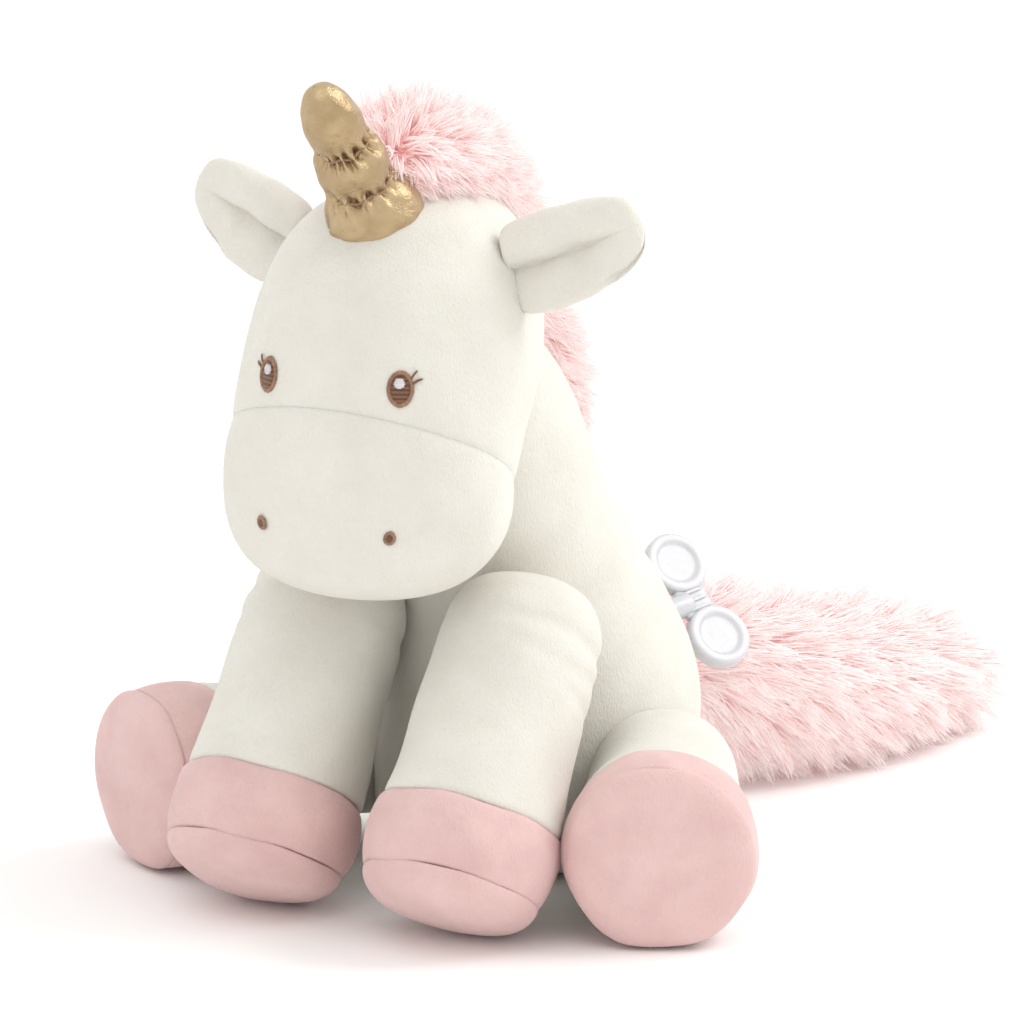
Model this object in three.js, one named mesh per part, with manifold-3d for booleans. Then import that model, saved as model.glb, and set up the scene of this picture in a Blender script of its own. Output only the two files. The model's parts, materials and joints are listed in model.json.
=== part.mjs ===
// A seated plush unicorn with a wind-up music movement inside, as an assembly of separate pieces.
// Millimetres, +Z up. The unicorn looks along -Y and its own left side is +X.
// The origin is the centre of the flat seat, on the surface that the toy sits on.
import * as THREE from "three";
import { mergeVertices } from "three/addons/utils/BufferGeometryUtils.js";
import Module from "manifold-3d";

const wasm = await Module();
wasm.setup();

// ---------------------------------------------------------------- driving dimensions
const CLOTH = 2; // plush cloth with its pile
const LAME = 1; // the thin metallic cloth of the horn
const GAP = 0.3; // air left between pieces that touch
const TURNING_GAP = 0.9; // air round a ball that turns, which also covers the facets
const FACETS = 18; // sides of a round soft piece

const NECK = new THREE.Vector3(0, -42, 150); // the head turns about the upright line through here
const NECK_BALL = 32;
const HEAD_TURN = 12; // degrees to either side

const SHOULDER = new THREE.Vector3(35, -57, 90);
const SHOULDER_BALL = 23.5;
const FRONT_LEG = { ball: SHOULDER_BALL, mid: 24.5, cuff: 28.5, cuffStart: 64, soleSeam: 87, dome: 9 };
const FRONT_LEG_TILT = 34; // degrees forward of straight down
const FRONT_HOOF_BEND = -3; // the hoof turns back towards the floor by this

const HIP = new THREE.Vector3(57, -10, 31);
const HIP_BALL = 25;
const HIND_LEG = { ball: HIP_BALL, mid: 25, cuff: 28.5, cuffStart: 54, soleSeam: 77, dome: 6 };
const HIND_LEG_TILT = 87;
const HIND_HOOF_BEND = 3;
const HIND_LEG_SPLAY = 30; // degrees outwards from straight ahead

const EAR = { x: 43, y: -70, z: 200, length: 40, width: 32, thickness: 10, hinge: 5 };
const HORN = { y: -84, z: 214, tilt: 38 };
const TAIL_BASE = new THREE.Vector3(-3, 57, 42);
const TAIL_BALL = 12;
const TAIL_SWING = 12; // degrees to either side

// Sections across the torso, from the seat to the neck.
const TORSO = [
  { z: 0, front: -34, back: 48, half: 38 },
  { z: 8, front: -44, back: 58, half: 46 },
  { z: 28, front: -47, back: 63, half: 49 },
  { z: 49, front: -47, back: 63, half: 50 },
  { z: 66, front: -46, back: 58, half: 49 },
  { z: 82, front: -47, back: 49, half: 45.5 },
  { z: 98, front: -52, back: 37, half: 41.5 },
  { z: 114, front: -58, back: 25, half: 37 },
  { z: 128, front: -63, back: 14, half: 34 },
  { z: 142, front: -67, back: 3, half: 31 },
];

// Sections across the head, from the chin to the crown. Both ends close in a point.
const HEAD = [
  { z: 100, front: -96, back: -96, half: 0 },
  { z: 102, front: -111, back: -78, half: 19 },
  { z: 107, front: -118, back: -70, half: 31 },
  { z: 115, front: -122, back: -64, half: 40 },
  { z: 127, front: -124, back: -58, half: 46 },
  { z: 141, front: -123, back: -52, half: 48 },
  { z: 153, front: -121, back: -44, half: 48 },
  { z: 165, front: -118, back: -35, half: 47 },
  { z: 179, front: -116, back: -27, half: 45 },
  { z: 193, front: -113, back: -23, half: 42 },
  { z: 206, front: -106, back: -25, half: 36 },
  { z: 216, front: -97, back: -32, half: 28 },
  { z: 223, front: -84, back: -44, half: 17 },
  { z: 226, front: -66, back: -66, half: 0 },
];
const HEAD_WIDEST = 0.4; // where the head is widest, as a share of its depth from the face



const rad = THREE.MathUtils.degToRad;

// ---------------------------------------------------------------- helpers
// A closed geometry as a solid that can be cut and joined.
function solid(geometry, matrix) {
  const bare = geometry.clone();
  bare.deleteAttribute("normal");
  bare.deleteAttribute("uv");
  if (matrix) bare.applyMatrix4(matrix);
  const merged = mergeVertices(bare, 1e-3);
  return new wasm.Manifold(
    new wasm.Mesh({
      numProp: 3,
      vertProperties: new Float32Array(merged.attributes.position.array),
      triVerts: new Uint32Array(merged.index.array),
    }),
  );
}

function geometryOf(manifold) {
  const mesh = manifold.getMesh();
  const position = new THREE.BufferAttribute(new Float32Array(mesh.vertProperties), 3);
  const geometry = new THREE.BufferGeometry().setAttribute("position", position);
  geometry.setIndex(new THREE.BufferAttribute(new Uint32Array(mesh.triVerts), 1));
  geometry.computeVertexNormals();
  return geometry;
}

const move = (x, y, z) => new THREE.Matrix4().makeTranslation(x, y, z);

// A turn about the upright line through a point, in degrees.
const about = (centre, turn) =>
  move(...centre)
    .multiply(new THREE.Matrix4().makeRotationZ(rad(turn)))
    .multiply(move(-centre.x, -centre.y, -centre.z));

// Skins a stack of equal rings. A ring of one repeated point closes that end as a pole.
function loft(rings) {
  const count = rings[0].length;
  const points = [];
  const faces = [];
  const starts = rings.map((ring) => {
    const start = points.length;
    const pole = ring[0].distanceTo(ring[1]) < 1e-6;
    points.push(...(pole ? [ring[0]] : ring));
    return { start, pole };
  });
  const corner = (r, k) => starts[r].start + (starts[r].pole ? 0 : k % count);
  for (let r = 0; r + 1 < rings.length; r++)
    for (let k = 0; k < count; k++) {
      if (!starts[r].pole) faces.push(corner(r, k), corner(r, k + 1), corner(r + 1, k));
      if (!starts[r + 1].pole) faces.push(corner(r, k + 1), corner(r + 1, k + 1), corner(r + 1, k));
    }
  const last = rings.length - 1;
  for (let k = 1; k + 1 < count; k++) {
    if (!starts[0].pole) faces.push(corner(0, 0), corner(0, k + 1), corner(0, k));
    if (!starts[last].pole) faces.push(corner(last, 0), corner(last, k), corner(last, k + 1));
  }
  return new THREE.BufferGeometry().setFromPoints(points).setIndex(faces);
}

// A point of an egg-shaped section: angle 0 is the front, a quarter turn is the +X side.
function sectionPoint({ z, front, back, half }, widest, angle) {
  const middle = THREE.MathUtils.lerp(front, back, widest);
  const depth = Math.cos(angle) > 0 ? middle - front : back - middle;
  return new THREE.Vector3(half * Math.sin(angle), middle - depth * Math.cos(angle), z);
}

function sectionSolid(sections, widest, inset = 0) {
  const lastIndex = sections.length - 1;
  const rings = sections.map((section, i) => {
    const closed = section.half === 0;
    const drop = i === 0 ? inset : i === lastIndex ? -inset : 0;
    const tight = {
      z: section.z + drop,
      front: section.front + (closed ? 0 : inset),
      back: section.back - (closed ? 0 : inset),
      half: section.half - (closed ? 0 : inset),
    };
    return Array.from({ length: FACETS }, (_, k) =>
      sectionPoint(tight, widest, (2 * Math.PI * k) / FACETS),
    );
  });
  return solid(loft(rings));
}

function sectionAt(sections, z) {
  const i = Math.max(1, sections.findIndex((s) => s.z >= z));
  const [a, b] = [sections[i - 1], sections[i]];
  const t = (z - a.z) / (b.z - a.z);
  const mix = (key) => THREE.MathUtils.lerp(a[key], b[key], t);
  return { z, front: mix("front"), back: mix("back"), half: mix("half") };
}

// Where the skin is, and which way it faces, at a height and an angle round the body.
function onSkin(sections, widest, z, angle) {
  const step = 1e-3;
  const point = sectionPoint(sectionAt(sections, z), widest, angle);
  const round = sectionPoint(sectionAt(sections, z), widest, angle + step).sub(point);
  const up = sectionPoint(sectionAt(sections, z + step), widest, angle).sub(point);
  return { point, normal: round.cross(up).normalize() };
}

function ball(centre, radius, across = 16, down = 10) {
  return solid(new THREE.SphereGeometry(radius, across, down), move(...centre));
}

function box(width, depth, height, x, y, z) {
  return solid(new THREE.BoxGeometry(width, depth, height), move(x, y, z));
}

// A lathe whose axis is +Z, from [radius, height] pairs that start and end on the axis or on each other.
function turned(profile, facets = FACETS) {
  const points = profile.map(([r, h]) => new THREE.Vector2(r, h));
  if (THREE.ShapeUtils.area(points) < 0) points.reverse();
  return new THREE.LatheGeometry(points, facets).rotateX(Math.PI / 2);
}

const rod = (radius, from, to, facets = 10) =>
  turned([[0, from], [radius, from], [radius, to], [0, to]], facets);

const FLOOR_CUTTER = () => box(600, 700, 100, 0, 0, -50);

const whitePlush = { color: 0xf3f0e6, roughness: 0.95, metalness: 0 };
const pinkVelour = { color: 0xe3bcbc, roughness: 0.95, metalness: 0 };
const pinkPile = { color: 0xf0c6c8, roughness: 1, metalness: 0 };
const goldLame = { color: 0xc9a866, roughness: 0.35, metalness: 0.8 };
const brownThread = { color: 0x7a4a2e, roughness: 0.6, metalness: 0 };
const whiteThread = { color: 0xf4f2f0, roughness: 0.5, metalness: 0 };
const polyester = { color: 0xfafafa, roughness: 1, metalness: 0 };
const whitePlastic = { color: 0xeeeef2, roughness: 0.3, metalness: 0 };
const steel = { color: 0xb8bcc0, roughness: 0.35, metalness: 1 };
const brass = { color: 0xc8a24a, roughness: 0.35, metalness: 1 };

const unicorn = new THREE.Group();

function piece(name, finish, geometry, parent = unicorn) {
  const mesh = new THREE.Mesh(geometry, new THREE.MeshStandardMaterial(finish));
  mesh.name = name;
  parent.add(mesh);
  return mesh;
}

// The right-hand twin of a solid, mirrored in the plane x = 0.
const mirrored = (manifold) => manifold.mirror([1, 0, 0]);

// ---------------------------------------------------------------- legs
// One leg in its own frame: the ball at the origin, the leg running down -Z, then bent near the hoof.
// depth 0 is the outside of the cloth.
function legProfile(leg, depth) {
  const arcSteps = 5;
  const arc = Array.from({ length: arcSteps + 1 }, (_, i) => {
    const a = (Math.PI / 2) * (1 - i / arcSteps);
    return [(leg.ball - depth) * Math.cos(a), (leg.ball - depth) * Math.sin(a)];
  });
  return [
    ...arc,
    [leg.mid - depth, -leg.cuffStart * 0.55],
    [leg.cuff - 1.5 - depth, -leg.cuffStart],
    [leg.cuff - depth, -(leg.cuffStart + leg.soleSeam) / 2],
    [leg.cuff - 1 - depth, -leg.soleSeam],
  ];
}

// Bends a leg from the top of its cuff on, by a turn about its X axis.
function bendHoof(geometry, leg, degrees) {
  const position = geometry.attributes.position;
  const start = leg.cuffStart * 0.5;
  const span = leg.soleSeam - start;
  const v = new THREE.Vector3();
  for (let i = 0; i < position.count; i++) {
    v.fromBufferAttribute(position, i);
    const along = Math.max(0, -v.z - start);
    const share = Math.min(1, along / span);
    const turn = rad(degrees) * share;
    const shift = rad(degrees) * (along - span * share * 0.5);
    const beyond = -start - along;
    if (along > 0) {
      const y = v.y;
      v.y = y * Math.cos(turn) - shift;
      v.z = beyond - y * Math.sin(turn);
    }
    position.setXYZ(i, v.x, v.y, v.z);
  }
  return geometry;
}

// Cuts one leg into the sleeve, the hoof cuff and the sole, over one filling.
function legPieces(leg, bend, matrix) {
  const bent = (profile, facets) =>
    solid(bendHoof(turned(profile, facets), leg, bend), matrix).subtract(FLOOR_CUTTER());
  const outer = legProfile(leg, 0);
  const inner = legProfile(leg, CLOTH);
  const sleeveOuter = outer.slice(0, -2);
  const sleeveInner = inner.slice(0, -2);
  sleeveOuter[sleeveOuter.length - 1][1] += GAP;
  sleeveInner[sleeveInner.length - 1][1] += GAP;
  const cuffOuter = outer.slice(-3);
  const cuffInner = inner.slice(-3);
  const soleRadius = leg.cuff - 1;
  const seam = -leg.soleSeam - GAP;
  const dome = (radius, height, base) => [
    [radius, base],
    [radius * 0.86, base - height * 0.55],
    [radius * 0.5, base - height * 0.92],
    [0, base - height],
  ];
  const sole = [[0, seam], ...dome(soleRadius, leg.dome, seam)];
  const loose = CLOTH + 2 * GAP;
  const fill = [
    ...legProfile(leg, loose).slice(0, -1),
    [leg.cuff - 1 - loose, -leg.soleSeam + GAP],
    [0, -leg.soleSeam + GAP],
  ];
  return {
    sleeve: bent([...sleeveOuter, ...sleeveInner.reverse()]),
    cuff: bent([...cuffOuter, ...cuffInner.reverse(), cuffOuter[0]]),
    sole: bent(sole),
    filling: bent(fill, 12),
  };
}

const frontLegMatrix = move(...SHOULDER).multiply(new THREE.Matrix4().makeRotationX(-rad(FRONT_LEG_TILT)));
const hindLegMatrix = move(...HIP)
  .multiply(new THREE.Matrix4().makeRotationZ(rad(HIND_LEG_SPLAY)))
  .multiply(new THREE.Matrix4().makeRotationX(-rad(HIND_LEG_TILT)));

for (const [kind, leg, bend, matrix] of [
  ["front_leg", FRONT_LEG, FRONT_HOOF_BEND, frontLegMatrix],
  ["hind_leg", HIND_LEG, HIND_HOOF_BEND, hindLegMatrix],
]) {
  const parts = legPieces(leg, bend, matrix);
  const finishes = { sleeve: whitePlush, cuff: pinkVelour, sole: pinkVelour, filling: polyester };
  for (const [role, finish] of Object.entries(finishes)) {
    piece(`${kind}_left_${role}`, finish, geometryOf(parts[role]));
    piece(`${kind}_right_${role}`, finish, geometryOf(mirrored(parts[role])));
  }
}

// ---------------------------------------------------------------- movement frame
// The key's shaft leaves the back left of the spine. Its local +Z points out along the shaft,
// and its local +X runs through both finger discs of the key at rest.
const KEY_HEIGHT = 66;
const KEY_ANGLE = rad(160); // round the torso from the front, towards the toy's left
const shaftOut = new THREE.Vector3(0.37, 0.91, 0.17).normalize();
const bowLine = new THREE.Vector3(-0.64, 0.11, 0.76).projectOnPlane(shaftOut).normalize();
const movementMatrix = new THREE.Matrix4()
  .makeBasis(bowLine, shaftOut.clone().cross(bowLine), shaftOut)
  .setPosition(onSkin(TORSO, 0.5, KEY_HEIGHT, KEY_ANGLE).point);

const CASE = { middle: 6, length: 42, width: 32, top: -24, depth: 22, wall: 1.6 };
const KEY = { out: 19, apart: 13.9, disc: 10.75, thickness: 5, stem: 4, bore: 2.5 };

// ---------------------------------------------------------------- torso
const balls = (extra, across = 16, down = 10) => {
  const opposite = ({ x, y, z }) => new THREE.Vector3(-x, y, z);
  const places = [
    [SHOULDER, SHOULDER_BALL],
    [opposite(SHOULDER), SHOULDER_BALL],
    [HIP, HIP_BALL],
    [opposite(HIP), HIP_BALL],
    [TAIL_BASE, TAIL_BALL],
  ];
  return places
    .map(([centre, radius]) => ball(centre, radius + extra, across, down))
    .reduce((a, b) => a.add(b));
};

const torsoBody = (inset, across = 20, down = 14) =>
  sectionSolid(TORSO, 0.5, inset).add(ball(NECK, NECK_BALL - inset, across, down));
const shaftHole = solid(rod(4.6, -20, 20), movementMatrix);
const neckOpening = solid(rod(11, 0, 60, 12), move(...NECK));

const torsoShell = torsoBody(0)
  .subtract(balls(TURNING_GAP))
  .subtract(torsoBody(CLOTH, 14, 10).subtract(balls(TURNING_GAP + CLOTH + 0.8, 12, 8)))
  .subtract(neckOpening)
  .subtract(shaftHole);
piece("torso_skin", whitePlush, geometryOf(torsoShell));

const casePocket = solid(
  new THREE.BoxGeometry(CASE.length + 1, CASE.width + 1, CASE.depth + 1),
  movementMatrix.clone().multiply(move(CASE.middle, 0, CASE.top - CASE.depth / 2)),
);
const torsoFilling = torsoBody(CLOTH + 2 * GAP, 14, 10)
  .subtract(balls(TURNING_GAP + CLOTH + 1.4, 12, 8))
  .subtract(casePocket)
  .subtract(solid(rod(5.4, -30, 20), movementMatrix));
piece("torso_filling", polyester, geometryOf(torsoFilling));

// ---------------------------------------------------------------- head
// What the neck sweeps as the head turns: its ball, and a collar below it.
const neckSpace = (extra) =>
  ball(NECK, NECK_BALL + extra, 20, 14).add(solid(rod(26 + extra, -65, -16, 20), move(...NECK)));

// The seam under the eyes runs down towards the back of the jaw.
const SEAM_FRONT = new THREE.Vector3(0, -118, 164);
const SEAM_SLOPE = -32;
const aboveSeam = (shift) =>
  solid(
    new THREE.BoxGeometry(300, 400, 300),
    move(...SEAM_FRONT)
      .multiply(new THREE.Matrix4().makeRotationX(rad(SEAM_SLOPE)))
      .multiply(move(0, 0, 150 + shift)),
  );

function earMatrix() {
  const outward = new THREE.Vector3(0.93, 0.155, 0.336).normalize();
  const along = new THREE.Vector3(-0.34, 0, 0.94).projectOnPlane(outward).normalize();
  return new THREE.Matrix4()
    .makeBasis(outward, along, outward.clone().cross(along))
    .setPosition(EAR.x, EAR.y, EAR.z);
}

// The round edge that the ear folds about, as a rod with ball ends.
function earHinge(extra) {
  const half = EAR.width / 2 - 4;
  const capsule = new THREE.CapsuleGeometry(EAR.hinge + extra, 2 * half, 2, 10);
  return solid(capsule, earMatrix());
}

const headOuter = sectionSolid(HEAD, HEAD_WIDEST);
const hinges = (extra) => earHinge(extra).add(mirrored(earHinge(extra)));
const headShell = headOuter
  .subtract(neckSpace(TURNING_GAP))
  .subtract(hinges(0.5))
  .subtract(sectionSolid(HEAD, HEAD_WIDEST, CLOTH).subtract(neckSpace(TURNING_GAP + CLOTH)).subtract(hinges(0.5 + CLOTH)))
  .subtract(solid(rod(12, -70, 0, 12), move(...NECK)));
piece("head_skin", whitePlush, geometryOf(headShell.intersect(aboveSeam(GAP / 2))));
piece("muzzle_skin", whitePlush, geometryOf(headShell.subtract(aboveSeam(-GAP / 2))));
const headFilling = sectionSolid(HEAD, HEAD_WIDEST, CLOTH + GAP)
  .subtract(neckSpace(TURNING_GAP + CLOTH + GAP))
  .subtract(hinges(0.5 + CLOTH + GAP));
piece("head_filling", polyester, geometryOf(headFilling));

// ---------------------------------------------------------------- ears
// A stuffed leaf, made as a front and a back panel that meet in the middle of its thickness.
function earLeaf() {
  const steps = 8;
  const rings = Array.from({ length: steps + 1 }, (_, i) => {
    const s = i / steps;
    const taper = Math.sqrt(Math.max(0, 1 - Math.pow(s, 2.6)));
    const bulge = 0.82 + 0.36 * Math.sin(Math.PI * Math.min(1, s * 1.3));
    const half = (EAR.width / 2) * taper * Math.min(1, bulge);
    const thick = (EAR.thickness / 2) * Math.max(taper, 0);
    return Array.from({ length: 14 }, (_, k) => {
      const a = (2 * Math.PI * k) / 14;
      return new THREE.Vector3(EAR.length * s, half * Math.cos(a), thick * Math.sin(a));
    });
  });
  const clearOfHead = sectionSolid(HEAD, HEAD_WIDEST, -2.5);
  return solid(loft(rings), earMatrix()).subtract(clearOfHead).add(earHinge(0));
}

const leaf = earLeaf();
const earHalf = (side) =>
  solid(
    new THREE.BoxGeometry(200, 200, 100),
    earMatrix().multiply(move(0, 0, side * (50 + GAP / 2))),
  );
for (const [name, mirror] of [["left", false], ["right", true]])
  for (const [panel, side] of [["front", 1], ["back", -1]]) {
    const half = leaf.intersect(earHalf(side));
    piece(`ear_${name}_${panel}_panel`, whitePlush, geometryOf(mirror ? mirrored(half) : half));
  }

// ---------------------------------------------------------------- horn
// Three stuffed rolls, drawn in by two gathering threads.
const ROLLS = [
  [14.6, 0], [14.8, 9], [14, 15.5], [10.8, 22],
  [10.8, 23.5], [11.8, 28], [11, 33.5], [8.4, 38.7],
  [8.4, 40.1], [9.4, 45], [9.2, 51.3], [7.4, 57.6], [4.2, 61.7], [0, 63],
];
const hornMatrix = move(0, HORN.y, HORN.z).multiply(new THREE.Matrix4().makeRotationX(rad(HORN.tilt)));
const headGrown = sectionSolid(HEAD, HEAD_WIDEST, -GAP);
const hornProfile = (inset) =>
  ROLLS.map(([r, h], i) => [Math.max(0, r - inset), i === ROLLS.length - 1 ? h - inset : h]);
const hornSolid = (inset) => solid(turned([[0, 0], ...hornProfile(inset)], 14), hornMatrix);
piece("horn_sleeve", goldLame, geometryOf(hornSolid(0).subtract(hornSolid(LAME)).subtract(headGrown)));
piece("horn_filling", polyester, geometryOf(hornSolid(LAME + GAP).subtract(headGrown)));
for (const [name, height, radius] of [["lower", 22.75, 10.8], ["upper", 39.4, 8.4]]) {
  const thread = new THREE.TorusGeometry(radius + GAP + 0.4, 0.4, 4, 16);
  thread.applyMatrix4(hornMatrix.clone().multiply(move(0, 0, height)));
  piece(`horn_gather_${name}`, goldLame, thread);
}

// ---------------------------------------------------------------- embroidery
// A pad of stitches on the skin, wide along `across` and tall along the skin's upright.
function stitched(z, angle, halfWidth, halfHeight, rise, shift = [0, 0]) {
  const { point, normal } = onSkin(HEAD, HEAD_WIDEST, z, angle);
  const up = new THREE.Vector3(0, 0, 1).projectOnPlane(normal).normalize();
  const across = up.clone().cross(normal);
  const frame = new THREE.Matrix4().makeBasis(across, up, normal).setPosition(point);
  frame.multiply(move(shift[0], shift[1], 0));
  frame.scale(new THREE.Vector3(halfWidth, halfHeight, rise));
  return solid(new THREE.SphereGeometry(1, 10, 6), frame);
}

const EYE = { z: 170, angle: rad(28.5), halfWidth: 4.4, halfHeight: 5.7 };
const eyePad = stitched(EYE.z, EYE.angle, EYE.halfWidth, EYE.halfHeight, 1.5).subtract(headGrown);
const glintShape = (grow) => stitched(EYE.z, EYE.angle, 1.9 + grow, 1.7 + grow, 3, [-0.3, 1.7]);
const glint = glintShape(0)
  .subtract(headGrown)
  .subtract(box(40, 10, 20, EYE.angle, 0, 0))
  .intersect(stitched(EYE.z, EYE.angle, EYE.halfWidth + 3, EYE.halfHeight + 3, 1.9));
const lashes = stitched(EYE.z, EYE.angle, 2.2, 0.6, 1.6, [6.6, 2.6])
  .add(stitched(EYE.z, EYE.angle, 0.6, 2, 1.6, [5.2, 3.6]))
  .subtract(headGrown)
  .subtract(stitched(EYE.z, EYE.angle, EYE.halfWidth + GAP, EYE.halfHeight + GAP, 1.5 + GAP));
const nostril = stitched(127, rad(27), 1.9, 2.1, 1.4).subtract(headGrown);
const embroidery = {
  eye: [eyePad.subtract(glintShape(GAP)), brownThread],
  eye_glint: [glint, whiteThread],
  eyelashes: [lashes, brownThread],
  nostril: [nostril, brownThread],
};
for (const [name, [shape, finish]] of Object.entries(embroidery)) {
  piece(`${name}_left`, finish, geometryOf(shape));
  piece(`${name}_right`, finish, geometryOf(mirrored(shape)));
}

// ---------------------------------------------------------------- mane and tail
// A tube of long pile: oval rings square to a path in the toy's middle plane.
function pileTube(stations, facets = 14) {
  const rings = stations.map(({ x = 0, y, z, wide, thick, lean }) => {
    const outward = new THREE.Vector3(0, Math.sin(rad(lean)), Math.cos(rad(lean)));
    return Array.from({ length: facets }, (_, k) => {
      const a = (2 * Math.PI * k) / facets;
      return new THREE.Vector3(x + wide * Math.cos(a), y, z).addScaledVector(outward, thick * Math.sin(a));
    });
  });
  return solid(loft(rings.reverse()));
}

// lean is the way the pile stands, in degrees from straight up towards the back.
const MANE_ON_HEAD = [
  { y: -82, z: 232, wide: 13, thick: 12, lean: -30 },
  { y: -74, z: 233, wide: 21, thick: 19, lean: -16 },
  { y: -60, z: 232, wide: 25, thick: 23, lean: 5 },
  { y: -42, z: 226, wide: 26, thick: 23, lean: 30 },
  { y: -27, z: 213, wide: 26, thick: 22, lean: 52 },
  { y: -19, z: 197, wide: 26, thick: 23, lean: 72 },
  { y: -16, z: 184, wide: 25, thick: 24, lean: 88 },
];
const MANE_ON_NECK = [
  { y: -10, z: 184, wide: 25, thick: 24, lean: 90 },
  { y: -4, z: 170, wide: 25, thick: 25, lean: 84 },
  { y: 3, z: 156, wide: 24, thick: 25, lean: 76 },
  { y: 9, z: 143, wide: 21, thick: 20, lean: 70 },
  { y: 13, z: 134, wide: 14, thick: 11, lean: 68 },
];
const splitHeight = 183; // the mane parts here, where the head turns on the neck
const above = box(400, 400, 200, 0, 0, splitHeight + 100 + GAP);
const below = box(400, 400, 200, 0, 0, splitHeight - 100 - GAP);
const torsoGrown = torsoBody(-GAP);
const maneHead = pileTube(MANE_ON_HEAD)
  .intersect(above)
  .subtract(headGrown)
  .subtract(neckSpace(TURNING_GAP))
  .subtract(solid(rod(16.5, -10, 80, 16), hornMatrix));
const headClear = sectionSolid(HEAD, HEAD_WIDEST, -1.5);
const sweptHead = [-HEAD_TURN, -HEAD_TURN / 2, 0, HEAD_TURN / 2, HEAD_TURN]
  .map((turn) => headClear.transform(about(NECK, turn).toArray()))
  .reduce((a, b) => a.add(b));
const maneNeck = pileTube(MANE_ON_NECK).intersect(below).subtract(torsoGrown).subtract(sweptHead);
const biggest = (manifold) =>
  manifold.decompose().reduce((a, b) => (a.volume() > b.volume() ? a : b));
piece("mane_on_head", pinkPile, geometryOf(biggest(maneHead)));
piece("mane_on_neck", pinkPile, geometryOf(biggest(maneNeck)));

const TAIL = [
  { x: -3, y: 66.5, z: 42, wide: 10, thick: 10, lean: 0 },
  { x: -3, y: 78, z: 41, wide: 25, thick: 27, lean: 0 },
  { x: -1, y: 100, z: 36, wide: 35, thick: 34, lean: 0 },
  { x: 4, y: 125, z: 30, wide: 40, thick: 33, lean: 0 },
  { x: 10, y: 150, z: 26, wide: 42, thick: 29, lean: 0 },
  { x: 15, y: 176, z: 21, wide: 41, thick: 24, lean: 0 },
  { x: 19, y: 200, z: 16, wide: 35, thick: 18, lean: 0 },
  { x: 21, y: 220, z: 10, wide: 25, thick: 12, lean: 0 },
  { x: 22, y: 232, z: 6, wide: 12, thick: 6, lean: 0 },
];
// The round space that the turning key needs, seen from the tail wherever the tail swings to.
const keyReach = KEY.apart + KEY.disc + 1;
const keySweep = solid(rod(keyReach, KEY.out - KEY.disc - 1, KEY.out + KEY.disc + 1, 24), movementMatrix);
const sweptKey = [-TAIL_SWING, 0, TAIL_SWING]
  .map((turn) => keySweep.transform(about(TAIL_BASE, turn).toArray()))
  .reduce((a, b) => a.add(b));
const tail = pileTube(TAIL)
  .add(ball(TAIL_BASE, TAIL_BALL, 16, 10))
  .subtract(sweptKey)
  .subtract(FLOOR_CUTTER());
piece("tail", pinkPile, geometryOf(biggest(tail)));

// ---------------------------------------------------------------- music movement
const movement = new THREE.Group();
movement.name = "music_movement";
movement.applyMatrix4(movementMatrix);
unicorn.add(movement);

const slab = (x0, x1, y0, y1, z0, z1) =>
  box(x1 - x0, y1 - y0, z1 - z0, (x0 + x1) / 2, (y0 + y1) / 2, (z0 + z1) / 2);
const without = (outer, ...holes) => holes.reduce((a, b) => a.subtract(b), outer);
const inMovement = (name, finish, shape) =>
  piece(name, finish, shape.isBufferGeometry ? shape : geometryOf(shape), movement);

// Turns a shape that was made along +Z so that it lies along +X or +Y, and moves it.
const alongX = (x, y, z) => move(x, y, z).multiply(new THREE.Matrix4().makeRotationY(Math.PI / 2));
const alongY = (x, y, z) => move(x, y, z).multiply(new THREE.Matrix4().makeRotationX(-Math.PI / 2));

// A toothed wheel lying across +Z.
function wheel(teeth, tip, toothDepth, from, to, bore) {
  const corners = Array.from({ length: teeth }, (_, i) =>
    [[0.1, toothDepth], [0.35, 0], [0.65, 0], [0.9, toothDepth]].map(([share, drop]) => {
      const a = (2 * Math.PI * (i + share)) / teeth;
      return new THREE.Vector2((tip - drop) * Math.cos(a), (tip - drop) * Math.sin(a));
    }),
  ).flat();
  const outline = new THREE.Shape(corners);
  if (bore) outline.holes.push(new THREE.Path().absarc(0, 0, bore, 0, 2 * Math.PI, true));
  const options = { depth: to - from, bevelEnabled: false, curveSegments: 8 };
  return new THREE.ExtrudeGeometry(outline, options).translate(0, 0, from);
}

// A flat spring wound outwards, its strip standing along +Z.
function spiral(inner, outer, turns, strip, from, to) {
  const perTurn = 14;
  const steps = turns * perTurn;
  const edge = (shift) =>
    Array.from({ length: steps + 1 }, (_, i) => {
      const a = (2 * Math.PI * i) / perTurn;
      const r = THREE.MathUtils.lerp(inner, outer, i / steps) + shift;
      return new THREE.Vector2(r * Math.cos(a), r * Math.sin(a));
    });
  const outline = new THREE.Shape([...edge(strip / 2), ...edge(-strip / 2).reverse()]);
  return new THREE.ExtrudeGeometry(outline, { depth: to - from, bevelEnabled: false }).translate(0, 0, from);
}

// Case: two shells that meet halfway down.
const caseMid = CASE.top - CASE.depth / 2;
const caseBottom = CASE.top - CASE.depth;
const [caseX0, caseX1] = [CASE.middle - CASE.length / 2, CASE.middle + CASE.length / 2];
const caseY = CASE.width / 2;
const w = CASE.wall;
const caseBlock = slab(caseX0, caseX1, -caseY, caseY, caseBottom, CASE.top);
const caseRoom = slab(caseX0 + w, caseX1 - w, -caseY + w, caseY - w, caseBottom + w, CASE.top - w);
const shaftPass = solid(rod(3, -60, 30, 12));
const caseShell = without(caseBlock, caseRoom, shaftPass.subtract(slab(-9, 9, -9, 9, -60, caseMid)));
const caseVent = slab(14, 22, -5, 5, caseBottom - 1, caseBottom + w + 1);
inMovement("movement_case_front", whitePlastic, caseShell.subtract(slab(-99, 99, -99, 99, -99, caseMid + GAP / 2)));
inMovement(
  "movement_case_back",
  whitePlastic,
  without(caseShell, slab(-99, 99, -99, 99, caseMid - GAP / 2, 99), caseVent),
);

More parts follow.
